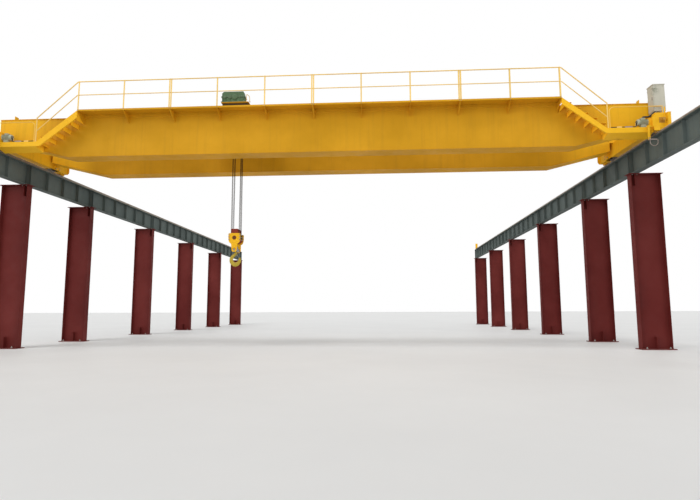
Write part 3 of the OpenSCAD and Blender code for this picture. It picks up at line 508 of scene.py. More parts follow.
def painted(name, paint, rust, patch=0.18, streak=0.35, chips=0.0, gloss=0.45, dust=0.3,
            spots=(), shade_below=None, ends=None):
    """Sprayed paint on plate: cloudy patches, streaks, dust on top, chips down to rust, painted
    light at the bridge's ends and painted shade below a level.
    """
    f = Finish(name)
    dark = shade(toward(paint, (0.12, 0.09, 0.06), 0.25), 0.72)
    pale = toward(shade(paint, 1.08), (0.75, 0.70, 0.60), 0.012)
    base = f.mix(f.spread(f.noise(0.45, 5.0), 0.32, 0.70), shade(paint, 1 - patch), pale)
    if ends:
        # Painted light: brighter toward the stair yellow at the bridge's two ends, where more light
        # falls on the webs
        away = f.math("ABSOLUTE", f.part(f.place, "X"), 0.0)
        base = f.mix(f.spread(away, 9.1, 10.0, 0, 0.8), base, ends)
    runs = f.noise(1.0, 6.0, 0.6, f.stretched(7.0, 7.0, 0.35))
    base = f.mix(f.spread(runs, 0.52, 0.80, 0, streak), base, dark)
    grime = f.noise(3.2, 8.0, 0.65)
    base = f.mix(f.spread(grime, 0.55, 0.85, 0, streak * 0.6), base, dark)
    up = f.part(f.node("ShaderNodeNewGeometry").outputs["Normal"], "Z")
    settled = f.math("MULTIPLY", f.spread(up, 0.3, 0.95, 0, dust),
                     f.spread(grime, 0.25, 0.65, 0.4, 1.0))
    base = f.mix(settled, base, toward(paint, (0.42, 0.38, 0.32), 0.75))
    if chips:
        flakes = f.math("MULTIPLY", f.spread(f.noise(38.0, 3.0), 0.69, 0.71),
                        f.spread(f.noise(0.8, 3.0), 0.50, 0.62, 0, 1))
        base = f.mix(f.math("MULTIPLY", flakes, chips), base, rust)
    for x, y, z, r in spots:
        away = f.node("ShaderNodeVectorMath", operation="DISTANCE")
        f.put(f.place, away.inputs[0])
        away.inputs[1].default_value = (x, y, z)
        near = f.spread(away.outputs["Value"], 0.2 * r, r, 1, 0)
        rough = f.spread(f.noise(7.0, 6.0, 0.7), 0.42, 0.60)
        base = f.mix(f.math("MULTIPLY", near, rough), base, rust)
    if shade_below:
        # Painted shade below a level, for the shadow under an overhanging top plate
        low, high, shade_colour = shade_below
        base = f.mix(f.spread(f.part(f.place, "Z"), low, high), shade_colour, base)
    f.shader.inputs["Specular IOR Level"].default_value = 0.15
    f.bump((f.noise(1.6, 2.0), 0.12, 0.02), (f.noise(140.0, 3.0), 0.10, 0.0008))
    return f.finish(base, f.spread(grime, 0.3, 0.8, gloss, min(1.0, gloss + 0.3)))


def worn_steel(name, metal, rust, metallic=0.7, roughness=0.42, grain=(40, 40, 4)):
    """Bare steel with a dull skin, brown oxide and a fine grain."""
    f = Finish(name)
    skin = f.noise(9.0, 8.0, 0.65)
    base = f.mix(f.spread(skin, 0.35, 0.65), shade(metal, 0.72), shade(metal, 1.15))
    base = f.mix(f.spread(f.noise(2.4, 6.0, 0.7), 0.50, 0.74, 0, 0.6), base, shade(rust, 0.5))
    lines = f.noise(1.0, 5.0, 0.6, f.stretched(*grain))
    f.shader.inputs["Metallic"].default_value = metallic
    f.bump((skin, 0.15, 0.002), (lines, 0.12, 0.0005))
    return f.finish(base, f.spread(lines, 0.3, 0.7, roughness, roughness + 0.25))


def greased_rope(name, grease):
    """Wire rope: slanting strands under brown grease."""
    f = Finish(name)
    wave = f.node("ShaderNodeTexWave", wave_type="BANDS", bands_direction="DIAGONAL")
    wave.inputs["Scale"].default_value = 22.0
    wave.inputs["Distortion"].default_value = 0.0
    f.put(f.stretched(1.0, 1.0, 0.55), wave.inputs["Vector"])
    strands = wave.outputs["Fac"]
    base = f.mix(f.spread(strands, 0.15, 0.9), shade(grease, 0.45), shade(grease, 1.6))
    base = f.mix(f.spread(f.noise(5.0, 5.0), 0.45, 0.75, 0, 0.6), base, (0.055, 0.033, 0.018))
    f.shader.inputs["Specular IOR Level"].default_value = 0.12
    f.bump((strands, 0.8, 0.004))
    return f.finish(base, f.spread(strands, 0, 1, 0.62, 0.42))


def moulded(name, plastic, gloss):
    """Moulded rubber or plastic, or a zinc coat, with a fine skin."""
    f = Finish(name)
    skin = f.noise(30.0, 6.0, 0.6)
    base = f.mix(f.spread(skin, 0.3, 0.75), shade(plastic, 0.75),
                 toward(plastic, (0.3, 0.28, 0.25), 0.12))
    f.shader.inputs["Specular IOR Level"].default_value = 0.2
    f.bump((f.noise(220.0, 3.0), 0.2, 0.0006))
    return f.finish(base, f.spread(skin, 0.3, 0.7, gloss, gloss + 0.2))


MATERIALS = {}


def make_materials(settings):
    """Builds every finish once, from the colours that the user chose."""
    c = {key: tuple(getattr(settings, key)) for key in CraneColours.__annotations__}
    rust = c["rust"]
    cabinet_spot = (CABINET[0].x + 0.05, CABINET[0].y, CABINET[1].z - 0.2, 0.22)
    MATERIALS.update(
        # Crane yellow, with painted light at the bridge's two ends
        yellow=painted("Crane yellow paint", c["crane"], rust, streak=0.30, chips=0.5,
                       spots=RUST_MARKS, ends=c["stairs"]),
        # Brighter yellow of the stairs and platforms: partly fresher paint, partly painted light
        fresh=painted("Stair and platform paint", c["stairs"], rust, patch=0.08, streak=0.12,
                      dust=0.15, spots=RUST_MARKS),
        # Painted shade, nearly black, on the stands' bodies below their top plates
        stands=painted("Hoist stand paint", c["crane"], rust, streak=0.4,
                       shade_below=(*STAND_SHADE_LINE, (0.055, 0.04, 0.022))),
        hook=painted("Hook paint", c["hook"], rust, patch=0.2, streak=0.3, chips=0.3, gloss=0.4),
        # Travel motors: paler green, partly their own paint and partly painted light from above
        motor=painted("Motor paint", c["motor"], rust, patch=0.12, streak=0.3, dust=0.2),
        guard_rail=painted("Guard rail paint", toward(c["stairs"], c["rail"], 0.5), rust,
                           streak=0.1, dust=0.1),
        axle=painted("Greased axle", (0.13, 0.055, 0.014), rust, streak=0.3, dust=0.0),
        track=worn_steel("Crane rail steel", c["track"], shade(rust, 1.3), 0.25, 0.5),
        galvanised=moulded("Galvanised bar", (0.42, 0.34, 0.30), 0.5),
        rail=painted("Handrail paint", c["rail"], rust, streak=0.15, chips=0.3, dust=0.1),
        maroon=painted("Column paint", c["column"], rust, patch=0.25, streak=0.25, chips=0.25,
                       gloss=0.55, dust=0.12),
        grey=painted("Runway paint", c["runway"], rust, patch=0.28, streak=0.5, chips=0.35,
                     gloss=0.55, dust=0.65),
        green=painted("Machine paint", c["machine"], rust, patch=0.25, streak=0.45, gloss=0.4,
                      dust=0.55),
        cabinet=painted("Cabinet paint", c["cabinet"], (0.20, 0.21, 0.15), patch=0.08,
                        streak=0.22, chips=0.3, dust=0.2, spots=[cabinet_spot]),
        red=painted("Guard paint", c["guard"], rust, patch=0.3, streak=0.5, chips=0.8, gloss=0.6),
        steel=worn_steel("Worn steel", c["steel"], rust),
        bolt=worn_steel("Plated bolts", shade(c["steel"], 1.3), rust, 0.8, 0.35, (90, 90, 90)),
        rope=greased_rope("Greased wire rope", c["rope"]),
        buffer=moulded("Buffer polyurethane", c["buffer"], 0.35),
        black=moulded("Black conduit", c["black"], 0.5),
    )


NODE_FINISHES = {
    "maroon": "base_plates columns_left columns_right",
    "grey": "runway_girders_left runway_girders_right",
    "track": "crane_rails",
    "steel": "trolley_rails travel_wheels trolley_wheels hoist_brake rope_drum upper_sheaves "
             "block_crosshead hook_nut hook_latch",
    "yellow": "end_stops girder_front girder_rear trolley_stops end_trucks bearing_housings "
              "travel_gearboxes walkway_deck walkway_brackets collector_bracket trolley_frame "
              "equaliser",
    "fresh": "end_stairs end_platforms block_plates",
    "guard_rail": "guard_rails",
    "axle": "block_sheaves",
    "stands": "hoist_stands",
    "hook": "hook",
    "motor": "travel_motors",
    "rail": "walkway_handrail stair_rails",
    "green": "trolley_drive hoist_gear_case hoist_motor",
    "cabinet": "control_cabinet",
    "red": "block_guard",
    "buffer": "truck_buffers",
    "rope": "drum_leads hoist_falls",
}


class CRANE_OT_paint(bpy.types.Operator):
    """Gives every piece of the frame its finish"""

    bl_idname = "crane.paint"
    bl_label = "Paint the frame"

    def execute(self, context):
        make_materials(context.scene.crane_colours)
        left = set(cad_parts)
        for finish, nodes in NODE_FINISHES.items():
            for node in nodes.split():
                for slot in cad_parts[node].material_slots:
                    slot.link = "OBJECT"
                    slot.material = MATERIALS[finish]
                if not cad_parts[node].material_slots:
                    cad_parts[node].data.materials.append(MATERIALS[finish])
                left.remove(node)
        if left:
            raise RuntimeError(f"no finish for {sorted(left)}")
        return {"FINISHED"}


# Runway and girder fittings


class CRANE_OT_anchor_bolts(bpy.types.Operator):
    """Foundation bolts through the base plates, with washers, nuts and threaded ends"""

    bl_idname = "crane.anchor_bolts"
    bl_label = "Anchor bolts"

    def execute(self, context):
        piece = Piece("bolt")
        r = context.scene.crane_sizes.anchor_r
        plate_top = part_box("base_plates")[1].z
        for side, y, ex, ey in product(BOTH, COLUMN_YS, BOTH, BOTH):
            piece.bolt((side * COLUMN_X + ex * ANCHOR_X, y + ey * ANCHOR_Y, plate_top), UP, r,
                       stud=0.035)
        piece.build("anchor_bolts", "runway")
        return {"FINISHED"}


class CRANE_OT_seat_bolts(bpy.types.Operator):
    """Bolts that hold the runway girders on the columns' cap plates"""

    bl_idname = "crane.seat_bolts"
    bl_label = "Girder seat bolts"

    def execute(self, context):
        piece = Piece("bolt")
        cap_half = COLUMN_D / 2 + 0.07
        for side, y, dy, dx in product(BOTH, COLUMN_YS, (-0.1, 0.1), (-0.08, 0.08)):
            if side * dx > 0 or abs(RAIL_X + side * dx - COLUMN_X) < cap_half:
                x = side * RAIL_X + dx
                piece.bolt((x, y + dy, RUNWAY_FOOT + RUNWAY_FLANGE), UP, SEAT_BOLT_R)
                piece.bolt((x, y + dy, RUNWAY_FOOT - COLUMN_CAP), DOWN, SEAT_BOLT_R, stud=0.012)
        piece.build("girder_seat_bolts", "runway")
        return {"FINISHED"}


def rail_clips(piece, at, reach, pitch, centre, foot_half, z):
    """Pairs of bolted clips along a rail; at turns (along, across, up) to X, Y and Z."""
    count = int(2 * reach / pitch) + 1
    edge, long = foot_half + 0.002, 0.06
    inner, outer = foot_half - 0.014, foot_half + 0.05
    outline = [(inner, 0.0135), (inner + 0.006, 0.024), (foot_half + 0.012, 0.026),
               (outer, 0.018), (outer, 0.0), (edge, 0.0), (edge, 0.0135)]
    for i, side in product(range(count), BOTH):
        a = -(count - 1) * pitch / 2 + i * pitch
        piece.extrude(outline, at(a - long / 2, centre, z), at(0, side, 0), UP, at(long, 0, 0))
        piece.screw(at(a, centre + side * (foot_half + 0.03), z + 0.02), UP, 0.009)


class CRANE_OT_crane_rail_clips(bpy.types.Operator):
    """Clips that hold the crane rails on the runway girders"""

    bl_idname = "crane.crane_rail_clips"
    bl_label = "Crane rail clips"

    def execute(self, context):
        piece = Piece("grey")
        for side in BOTH:
            rail_clips(piece, lambda along, across, up: (across, along, up),
                       CRANE_RAILS[1].y - 0.15, context.scene.crane_sizes.clip_pitch,
                       side * RAIL_X, CRANE_RAIL_FOOT, RUNWAY_TOP)
        piece.build("crane_rail_clips", "runway")
        return {"FINISHED"}


class CRANE_OT_trolley_rail_clips(bpy.types.Operator):
    """Clips that hold the trolley rails on the box girders"""

    bl_idname = "crane.trolley_rail_clips"
    bl_label = "Trolley rail clips"

    def execute(self, context):
        piece = Piece("yellow")
        low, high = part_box("trolley_rails")
        rail_y = (high.y - low.y) / 2 - TROLLEY_RAIL_FOOT
        for side in BOTH:
            rail_clips(piece, lambda along, across, up: (along, across, up), high.x - 0.12,
                       context.scene.crane_sizes.clip_pitch, BRIDGE_Y + side * rail_y,
                       TROLLEY_RAIL_FOOT, GIRDER_TOP)
        piece.build("trolley_rail_clips", "bridge")
        return {"FINISHED"}


class CRANE_OT_girder_welds(bpy.types.Operator):
    """Weld beads of the box girders: long fillets under the lips and butt joints in the webs"""

    bl_idname = "crane.girder_welds"
    bl_label = "Girder welds"

    def execute(self, context):
        piece = Piece("yellow")
        width = context.scene.crane_sizes.bead
        end_x = GIRDER_FRONT[1].x
        for low, high in (GIRDER_FRONT, GIRDER_REAR):
            for side, y in ((-1, low.y + GIRDER_LIP), (1, high.y - GIRDER_LIP)):
                out = (0, side, 0)
                for half, z, corner in ((end_x - 0.01, GIRDER_TOP - GIRDER_FLANGE, DOWN),
                                        (KINK_X, GIRDER_FOOT + GIRDER_FLANGE, UP)):
                    piece.bead((-half, y, z), (half, y, z), out, corner, width)
                for x in WEB_SEAMS:
                    piece.butt_bead((x, y, GIRDER_FOOT + 0.03), (x, y, GIRDER_TOP - 0.03),
                                    (1, 0, 0), out, width)
            for x in FLANGE_SEAMS:
                piece.butt_bead((x, low.y + 0.003, GIRDER_FOOT), (x, high.y - 0.003, GIRDER_FOOT),
                                (1, 0, 0), DOWN, width * 0.8)
        piece.build("girder_weld_beads", "bridge")
        return {"FINISHED"}


# Walkway, stairs and platforms


def tread_ridges(piece, x0, x1, y0, y1, z, pitch):
    """Rows of raised lozenges, turned by rows, as on rolled tread plate."""
    columns, rows = int((x1 - x0) / pitch), int((y1 - y0) / pitch)
    top = Vector((0, 0, 0.0016))
    for i, j in product(range(columns), range(rows)):
        a = radians(45 if (i + j) % 2 else -45)
        u = Vector((cos(a), sin(a), 0)) * pitch * 0.32
        v = Vector((-sin(a), cos(a), 0)) * pitch * 0.085
        c = Vector((x0 + (i + 0.5) * (x1 - x0) / columns, y0 + (j + 0.5) * (y1 - y0) / rows, z))
        piece.add([c - u, c - v, c + u, c + v, c - u * 0.6 + top, c + u * 0.6 + top],
                  [[0, 1, 4], [1, 5, 4], [1, 2, 5], [2, 3, 5], [3, 4, 5], [3, 0, 4]])


class CRANE_OT_tread_plate(bpy.types.Operator):
    """Raised pattern of the tread plate on the walkway and the end platforms"""

    bl_idname = "crane.tread_plate"
    bl_label = "Tread plate"

    def execute(self, context):
        piece = Piece("yellow")
        pitch = context.scene.crane_sizes.tread_pitch
        inner = DECK[1].y - 0.02
        tread_ridges(piece, -WALK_HALF + 0.02, WALK_HALF - 0.02, WALK_Y + 0.06, inner, WALK_Z,
                     pitch)
        for s in BOTH:
            x0, x1 = sorted((s * (STAIR_X1 + 0.02), s * (TRUCK_IN_X - 0.45)))
            tread_ridges(piece, x0, x1, WALK_Y + 0.04, inner, PLATFORM_Z, pitch)
        piece.build("tread_plate_ridges", "bridge")
        return {"FINISHED"}


class CRANE_OT_handrail_fittings(bpy.types.Operator):
    """Sleeves where the handrail's pipes meet the posts, and the bolts at the posts' feet"""

    bl_idname = "crane.handrail_fittings"
    bl_label = "Handrail fittings"

    def execute(self, context):
        piece = Piece("rail")
        pitch = 2 * WALK_HALF / POST_BAYS
        half_post = {0: 0.0225, POST_BAYS: -0.0225}
        for i in range(POST_BAYS + 1):
            x = (i - POST_BAYS / 2) * pitch + half_post.get(i, 0)
            for dx in POST_PAIR if i in DOUBLE_POSTS else (0,):
                for z, r in ((TOP_RAIL_Z, TOP_RAIL_R), (MID_RAIL_Z, MID_RAIL_R)):
                    piece.lathe((x + dx - 0.024, WALK_Y + 0.016, z), (1, 0, 0),
                                [(0, r + 0.001), (0.004, r + 0.004), (0.044, r + 0.004),
                                 (0.048, r + 0.001)], 16)
                for dz in (0.012, -0.022):
                    piece.screw((x + dx, WALK_Y, WALK_Z + dz), (0, -1, 0), 0.006)
        piece.build("handrail_fittings", "bridge")
        return {"FINISHED"}


class CRANE_OT_stairs(bpy.types.Operator):
    """Folded treads with deep lips behind a cut stringer, in place of the frame's stairs"""

    bl_idname = "crane.stairs"
    bl_label = "Stairs"

    def execute(self, context):
        piece = Piece("fresh")
        rise = (WALK_Z - PLATFORM_Z) / (STAIR_LEVELS + 1)
        # The right-hand flight stands a little further out than the left-hand one
        for s, shift in STAIR_SHIFTS:
            def plate(x0, x1, z0, z1, gap=0.005, inner_gap=0.0):
                piece.block((s * x0, WALK_Y + gap, z0), (s * x1, STAIR_INNER_Y - inner_gap, z1))

            head, landing = WALK_HALF - 0.002, STAIR_X1 - 0.15 + shift
            stringer = [(head, WALK_Z), (WALK_HALF + 0.03, WALK_Z - 0.03),
                        (STAIR_X1, PLATFORM_Z - 0.01), (STAIR_X1, FASCIA_Z),
                        (STAIR_X1 - 0.117 + shift * 0.5, FASCIA_Z),
                        (head, WALK_Z - 0.285 + shift * 0.3)]
            (xa, za), (xb, zb) = stringer[4:]
            lower_edge = [(xa, za), (xa, za + 0.008), (xb, zb + 0.008), (xb, zb)]
            for outline, thick in ((stringer, 0.010), (lower_edge, 0.045)):
                piece.extrude(outline, (0, WALK_Y, 0), (s, 0, 0), UP, (0, thick, 0))
            # Riser under the walkway's end
            plate(head, WALK_HALF + 0.006, WALK_Z - rise - 0.004, WALK_Z)
            for i in range(1, STAIR_LEVELS + 1):
                z = PLATFORM_Z + i * rise
                x1 = landing - TREAD_RUN * (i - 1)
                x0 = max(x1 - TREAD_RUN, WALK_HALF + 0.002)
                plate(x0, x1, z - STAIR_PLATE, z)
                for x, depth in ((x0, rise - 0.009), (x1 - 0.006, 0.035)):
                    plate(x, x + 0.006, z - depth, z - 0.001)
                # Swage pressed along the deep lip, and the nosing
                swage = z - rise * 0.5
                plate(x0 - 0.005, x0, swage - 0.006, swage + 0.006, 0.03, 0.02)
                plate(x1 - 0.034, x1 - 0.004, z, z + 0.004, 0.02, 0.02)
            plate(landing, STAIR_X1, PLATFORM_Z - STAIR_PLATE, PLATFORM_Z)
            plate(landing, landing + 0.008, PLATFORM_Z - 0.09, PLATFORM_Z - 0.001)
        made = piece.build("folded_stairs", "bridge", bevel=0.0015)
        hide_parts("end_stairs")
        return {"FINISHED"}


class CRANE_OT_platform_soffits(bpy.types.Operator):
    """Closed pans under the end platforms, which slope down to the girder"""

    bl_idname = "crane.platform_soffits"
    bl_label = "Platform soffits"

    def execute(self, context):
        piece = Piece("fresh")
        front, back, top = WALK_Y + 0.002, WALK_Y + 0.428, PLATFORM_Z - 0.012
        outline = [(front, FASCIA_Z + 0.002), (back, FASCIA_Z - 0.10), (back, top), (front, top)]
        for s in BOTH:
            piece.extrude(outline, (s * (STAIR_X1 + 0.004), 0, 0), (0, 1, 0), UP, (s * 1.42, 0, 0))
            for seam in (0.36, 0.72, 1.08):
                x = s * (STAIR_X1 + seam)
                piece.butt_bead((x, WALK_Y + 0.01, FASCIA_Z), (x, WALK_Y + 0.42, FASCIA_Z - 0.098),
                                (1, 0, 0), DOWN, 0.010)
        piece.build("platform_soffits", "bridge", bevel=0.002)
        return {"FINISHED"}


class CRANE_OT_collector(bpy.types.Operator):
    """Painted drop bar with a bare arm and guide hoop, in place of the frame's current collector"""

    bl_idname = "crane.collector"
    bl_label = "Current collector"

    def execute(self, context):
        piece = Piece("fresh")
        low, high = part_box("collector_bracket")
        arm_z = low.z + 0.208
        piece.block((low.x, low.y, high.z - 0.05), (TRUCK_IN_X, high.y, high.z - 0.002))
        piece.block((low.x, low.y + 0.01, arm_z), (low.x + 0.075, low.y + 0.022, high.z - 0.01))
        piece.block((low.x + 0.01, low.y, arm_z), (high.x, low.y + 0.035, arm_z + 0.036),
                    "galvanised")
        for dx in (0.02, 0.055):
            piece.bolt((low.x + dx, low.y + 0.01, arm_z + 0.075), (0, -1, 0), 0.006)
        centre, r, y = low.x + 0.178, 0.122, low.y + 0.017
        z = low.z + 0.014 + r
        legs = [[(centre + s * r, y, arm_z + 0.01), (centre + s * r, y, z + 0.01)] for s in BOTH]
        piece.tube(legs[0] + arc((centre, y, z), r, 180, 360, 16) + legs[1][::-1], 0.011, 10,
                   "galvanised")
        made = piece.build("current_collector", "bridge")
        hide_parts("collector_bracket")
        return {"FINISHED"}


# End trucks and travel drives


def housing_bolts(piece, side, face):
    """Screws of the bearing housings on one face of a truck and, outside, the manholes' covers."""
    out = (face, 0, 0)
    face_x = side * RAIL_X + face * TRUCK_W / 2
    housing_x = face_x + face * HOUSING_T
    corner, cover_r = HOUSING_S * 0.36, 0.08
    for y in (BRIDGE_Y - WHEEL_Y, BRIDGE_Y + WHEEL_Y):
        for ez, ey in product((1, -1), BOTH):
            piece.bolt((housing_x, y + ey * corner, AXLE_Z + ez * corner), out, 0.011)
        for c, s in around(6):
            piece.screw((housing_x + face * HOUSING_COVER, y + cover_r * c, AXLE_Z + cover_r * s),
                        out, 0.006)
    if face == side:
        for y in (BRIDGE_Y - MANHOLE_Y, BRIDGE_Y + MANHOLE_Y):
            piece.disc((face_x, y, MANHOLE_Z), out, 0.008, 0.13, 0.010, 0.124, 32)
            for c, s in around(6, 30):
                piece.screw((face_x + face * 0.009, y + 0.108 * c, MANHOLE_Z + 0.108 * s), out,
                            0.006)


def truck_end(piece, side, end):
    """End plate with a cut corner, a trip bar and a switch box at a buffer's foot."""
    y = BRIDGE_Y + end * TRUCK_HALF
    foot, top, outer = TRUCKS[0].z, TRUCKS[1].z, TRUCKS[1].x
    inner = TRUCK_IN_X - 0.09
    plate_y = y + end * 0.012
    outline = [(inner + 0.06, foot), (inner, foot + 0.08), (inner, top - 0.15),
               (inner + 0.15, top), (outer, top), (outer, foot)]
    piece.extrude(outline, (0, y, 0), (side, 0, 0), UP, (0, end * 0.012, 0))
    if end < 0:
        piece.block((side * (TRUCK_IN_X - 0.06), y - 0.024, FASCIA_Z),
                    (side * (TRUCK_IN_X + 0.13), y - 0.012, PLATFORM_Z - 0.058), "fresh")
    # Trip bar, switch box and the box's lid
    for x0, x1, depth, z0, z1, finish, edge in (
            (0.085, 0.125, 0.020, foot + 0.18, top + 0.19, "fresh", 0.0),
            (0.135, 0.235, 0.125, foot + 0.04, top - 0.04, "yellow", 0.012),
            (0.127, 0.243, 0.133, top - 0.04, top - 0.022, "fresh", 0.014)):
        piece.block((side * (RAIL_X + x0), plate_y, z0),
                    (side * (RAIL_X + x1), y + end * depth, z1), finish, edge)


class CRANE_OT_truck_fittings(bpy.types.Operator):
    """Bolts of the bearing housings, inspection covers, joint bolts, rail sweeps and end plates"""

    bl_idname = "crane.truck_fittings"
    bl_label = "End truck fittings"

    def execute(self, context):
        piece = Piece("yellow")
        sweep = [(0, 0), (-0.26, 0), (-0.20, -0.05), (-0.06, -0.055), (0, -0.055)]
        foot = TRUCKS[0].z
        for side in BOTH:
            x = side * RAIL_X
            for face in BOTH:
                housing_bolts(piece, side, face)
            # Bolts between the girders and the truck's top plate
            for gy, dy, dx in product((-1.2, 1.2), (-0.23, -0.08, 0.08, 0.23), (-0.15, -0.1)):
                piece.bolt((side * (RAIL_X + dx), BRIDGE_Y + gy + dy * 0.9, TRUCKS[1].z - 0.012),
                           DOWN, 0.01)
            # Rail sweeps under the ends of the box
            for end in BOTH:
                y = BRIDGE_Y + end * (TRUCK_HALF - 0.01)
                for dx in (-0.075, 0.075):
                    piece.extrude(sweep, (x + dx - 0.006, y, foot), (0, end, 0), UP, (0.012, 0, 0))
                piece.block((x - 0.09, y - 0.008, foot - 0.054), (x + 0.09, y + 0.008, foot + 0.12))
        for side, end in product(BOTH, BOTH):
            truck_end(piece, side, end)
        piece.build("truck_fittings", "bridge", bevel=0.0015)
        return {"FINISHED"}


def motor_fins(piece, start, end, r, fins):
    """Cooling fins that stand out round a motor's body."""
    start, end = Vector(start), Vector(end)
    u, v, w = axes_of(end - start)
    reach = w * (end - start).length
    low, high = r - 0.004, r + 0.011
    for i in range(fins):
        a = 2 * pi * (i + 0.5) / fins
        out = u * cos(a) + v * sin(a)
        across = w.cross(out) * 0.0022
        ring = [out * low - across, out * low + across,
                out * high + across * 0.6, out * high - across * 0.6]
        piece.loft([[start + p for p in ring], [start + reach + p for p in ring]])


def fan_cowl(piece, centre, out, r):
    """The pressed cowl over a motor's fan; the ring slots in its end are black rings, painted shade
    where the openings are.
    """
    piece.lathe(centre, out, [(-0.004, r * 0.98), (0.0, r * 0.98), (0.010, r * 0.80),
                              (0.014, r * 0.78)], 32)
    for k in (0.30, 0.45, 0.60):
        inner, outer = r * k, r * (k + 0.07)
        piece.lathe(centre, out, [(0.0138, inner), (0.0155, inner), (0.0155, outer),
                                  (0.0138, outer)], 32, "black")


class CRANE_OT_travel_drives(bpy.types.Operator):
    """Fins, cowls, terminal boxes and flange bolts of the travel motors and their gear cases"""

    bl_idname = "crane.travel_drives"
    bl_label = "Travel drive fittings"

    def execute(self, context):
        piece = Piece("motor")
        fins = context.scene.crane_sizes.fins
        x0, y, z = DRIVE_X0, DRIVE_Y, DRIVE_Z
        body_r, cowl_r, lid = 0.095, 0.105, z + 0.148
        for s in BOTH:
            inwards = (-s, 0, 0)
            motor_fins(piece, (s * (x0 - 0.245), y, z), (s * (x0 - 0.025), y, z), body_r, fins)
            fan_cowl(piece, (s * (x0 - 0.31), y, z), inwards, cowl_r)
            piece.block((s * (x0 - 0.195), y - 0.065, z + 0.136),
                        (s * (x0 - 0.065), y + 0.065, lid), edge=0.008)
            for dx, dy in product((-0.18, -0.08), (-0.05, 0.05)):
                piece.screw((s * (x0 + dx), y + dy, lid), UP, 0.004)
            for c, d in around(8):
                piece.screw((s * (x0 - 0.02), y + 0.1 * c, z + 0.1 * d), inwards, 0.006)
                piece.screw((s * x0, y + 0.132 * c, z + 0.132 * d), inwards, 0.007)
            # Eye bolt, the foot's holding bolts, an oil plug and a black plate under the motor,
            # painted shade of the gap below it
            piece.tube(arc((s * (x0 - 0.22), y, z + 0.118), 0.018, 0, 350, 14), 0.005, 6, "bolt")
            for dx, dy in product((-0.19, -0.07), (-0.055, 0.055)):
                piece.bolt((s * (x0 + dx), y + dy * 1.9, PLATFORM_Z), UP, 0.007)
            piece.bolt((s * (TRUCK_IN_X - 0.045), y + 0.05, z + 0.18), UP, 0.009)
            piece.block((s * (x0 - 0.23), y - 0.13, PLATFORM_Z),
                        (s * (x0 - 0.03), y + 0.13, PLATFORM_Z + 0.012), "black")
        piece.build("travel_drive_fittings", "bridge")
        return {"FINISHED"}


class CRANE_OT_cabinet(bpy.types.Operator):
    """Door, hinges, handle, bolted panel and cable glands of the control cabinet"""

    bl_idname = "crane.cabinet"
    bl_label = "Cabinet fittings"

    def execute(self, context):
        piece = Piece("cabinet")
        (x0, y0), (x1, y1) = [(CABINET[i].x - s * 0.015, CABINET[i].y - s * 0.015)
                              for i, s in enumerate(BOTH)]
        z0, z1 = TRUCKS[1].z + 0.13, CABINET[1].z - 0.025
        middle_z = (z0 + z1) / 2
        # Door on the side that faces the platform and a bolted panel at the front
        piece.block((x0 - 0.012, y0 + 0.015, z0 + 0.03), (x0, y1 - 0.015, z1 - 0.02))
        piece.block((x0 + 0.02, y0 - 0.006, z0 + 0.03), (x1 - 0.02, y0, z1 - 0.02))
        for z in (z0 + 0.12, middle_z, z1 - 0.12):
            piece.rod((x0 - 0.008, y1 - 0.008, z - 0.03), (x0 - 0.008, y1 - 0.008, z + 0.03),
                      0.006, 10, "bolt")
        for x, z in product((x0 + 0.04, x1 - 0.04), (z0 + 0.06, middle_z, z1 - 0.05)):
            piece.screw((x, y0 - 0.006, z), (0, -1, 0), 0.005)
        piece.block((x0 - 0.026, y0 + 0.05, middle_z - 0.05),
                    (x0 - 0.012, y0 + 0.075, middle_z + 0.05), "bolt", 0.003)
        for i in range(4):
            piece.lathe((x0 + 0.07 + i * 0.07, (y0 + y1) / 2, z0), DOWN,
                        [(0, 0.020), (0.012, 0.020), (0.014, 0.015), (0.035, 0.013)], 12, "black")
        piece.build("cabinet_fittings", "bridge", bevel=0.0015)
        return {"FINISHED"}


class CRANE_OT_conduits(bpy.types.Operator):
    """Conduits and saddles between the cabinet, the travel motors and the platforms"""

    bl_idname = "crane.conduits"
    bl_label = "Conduits"

    def execute(self, context):
        piece = Piece("black")
        x0, y, z, cabinet_x, bend_z = DRIVE_X0, DRIVE_Y, DRIVE_Z, CABINET[0].x, 7.735
        # From the right-hand motor's terminal box up to the cabinet
        piece.tube(smooth_path([
            (x0 - 0.13, y, z + 0.145), (x0 - 0.12, y - 0.03, z + 0.18),
            (x0 + 0.05, y - 0.12, z + 0.15), (cabinet_x + 0.02, y - 0.12, bend_z),
            (cabinet_x + 0.12, y - 0.06, bend_z), (cabinet_x + 0.12, y - 0.03, 7.76)]), 0.028, 12)
        # Along both platforms, beside the edge
        for s in BOTH:
            foot, head, run_z = s * (STAIR_X1 + 0.12), s * (x0 - 0.42), PLATFORM_Z + 0.035
            for dy, r, finish in ((0.0, 0.014, "black"), (0.05, 0.011, "rail")):
                yy = WALK_Y + 0.05 + dy
                piece.tube(smooth_path([
                    (foot, yy, PLATFORM_Z + 0.005), (foot, yy, run_z), (head, yy, run_z),
                    (s * (x0 - 0.36), yy + 0.10, PLATFORM_Z + 0.10),
                    (s * (x0 - 0.34), yy + 0.12, z)]), r, 8, finish)
            for a, b, finish in ((0.31, 0.47, "rail"), (0.56, 0.80, "galvanised")):
                piece.block((s * (STAIR_X1 + a), WALK_Y + 0.02, PLATFORM_Z),
                            (s * (STAIR_X1 + b), WALK_Y + 0.13, PLATFORM_Z + 0.05), finish, 0.01)
        piece.build("conduits", "bridge", bevel=0.002)
        return {"FINISHED"}


# Trolley and hoist


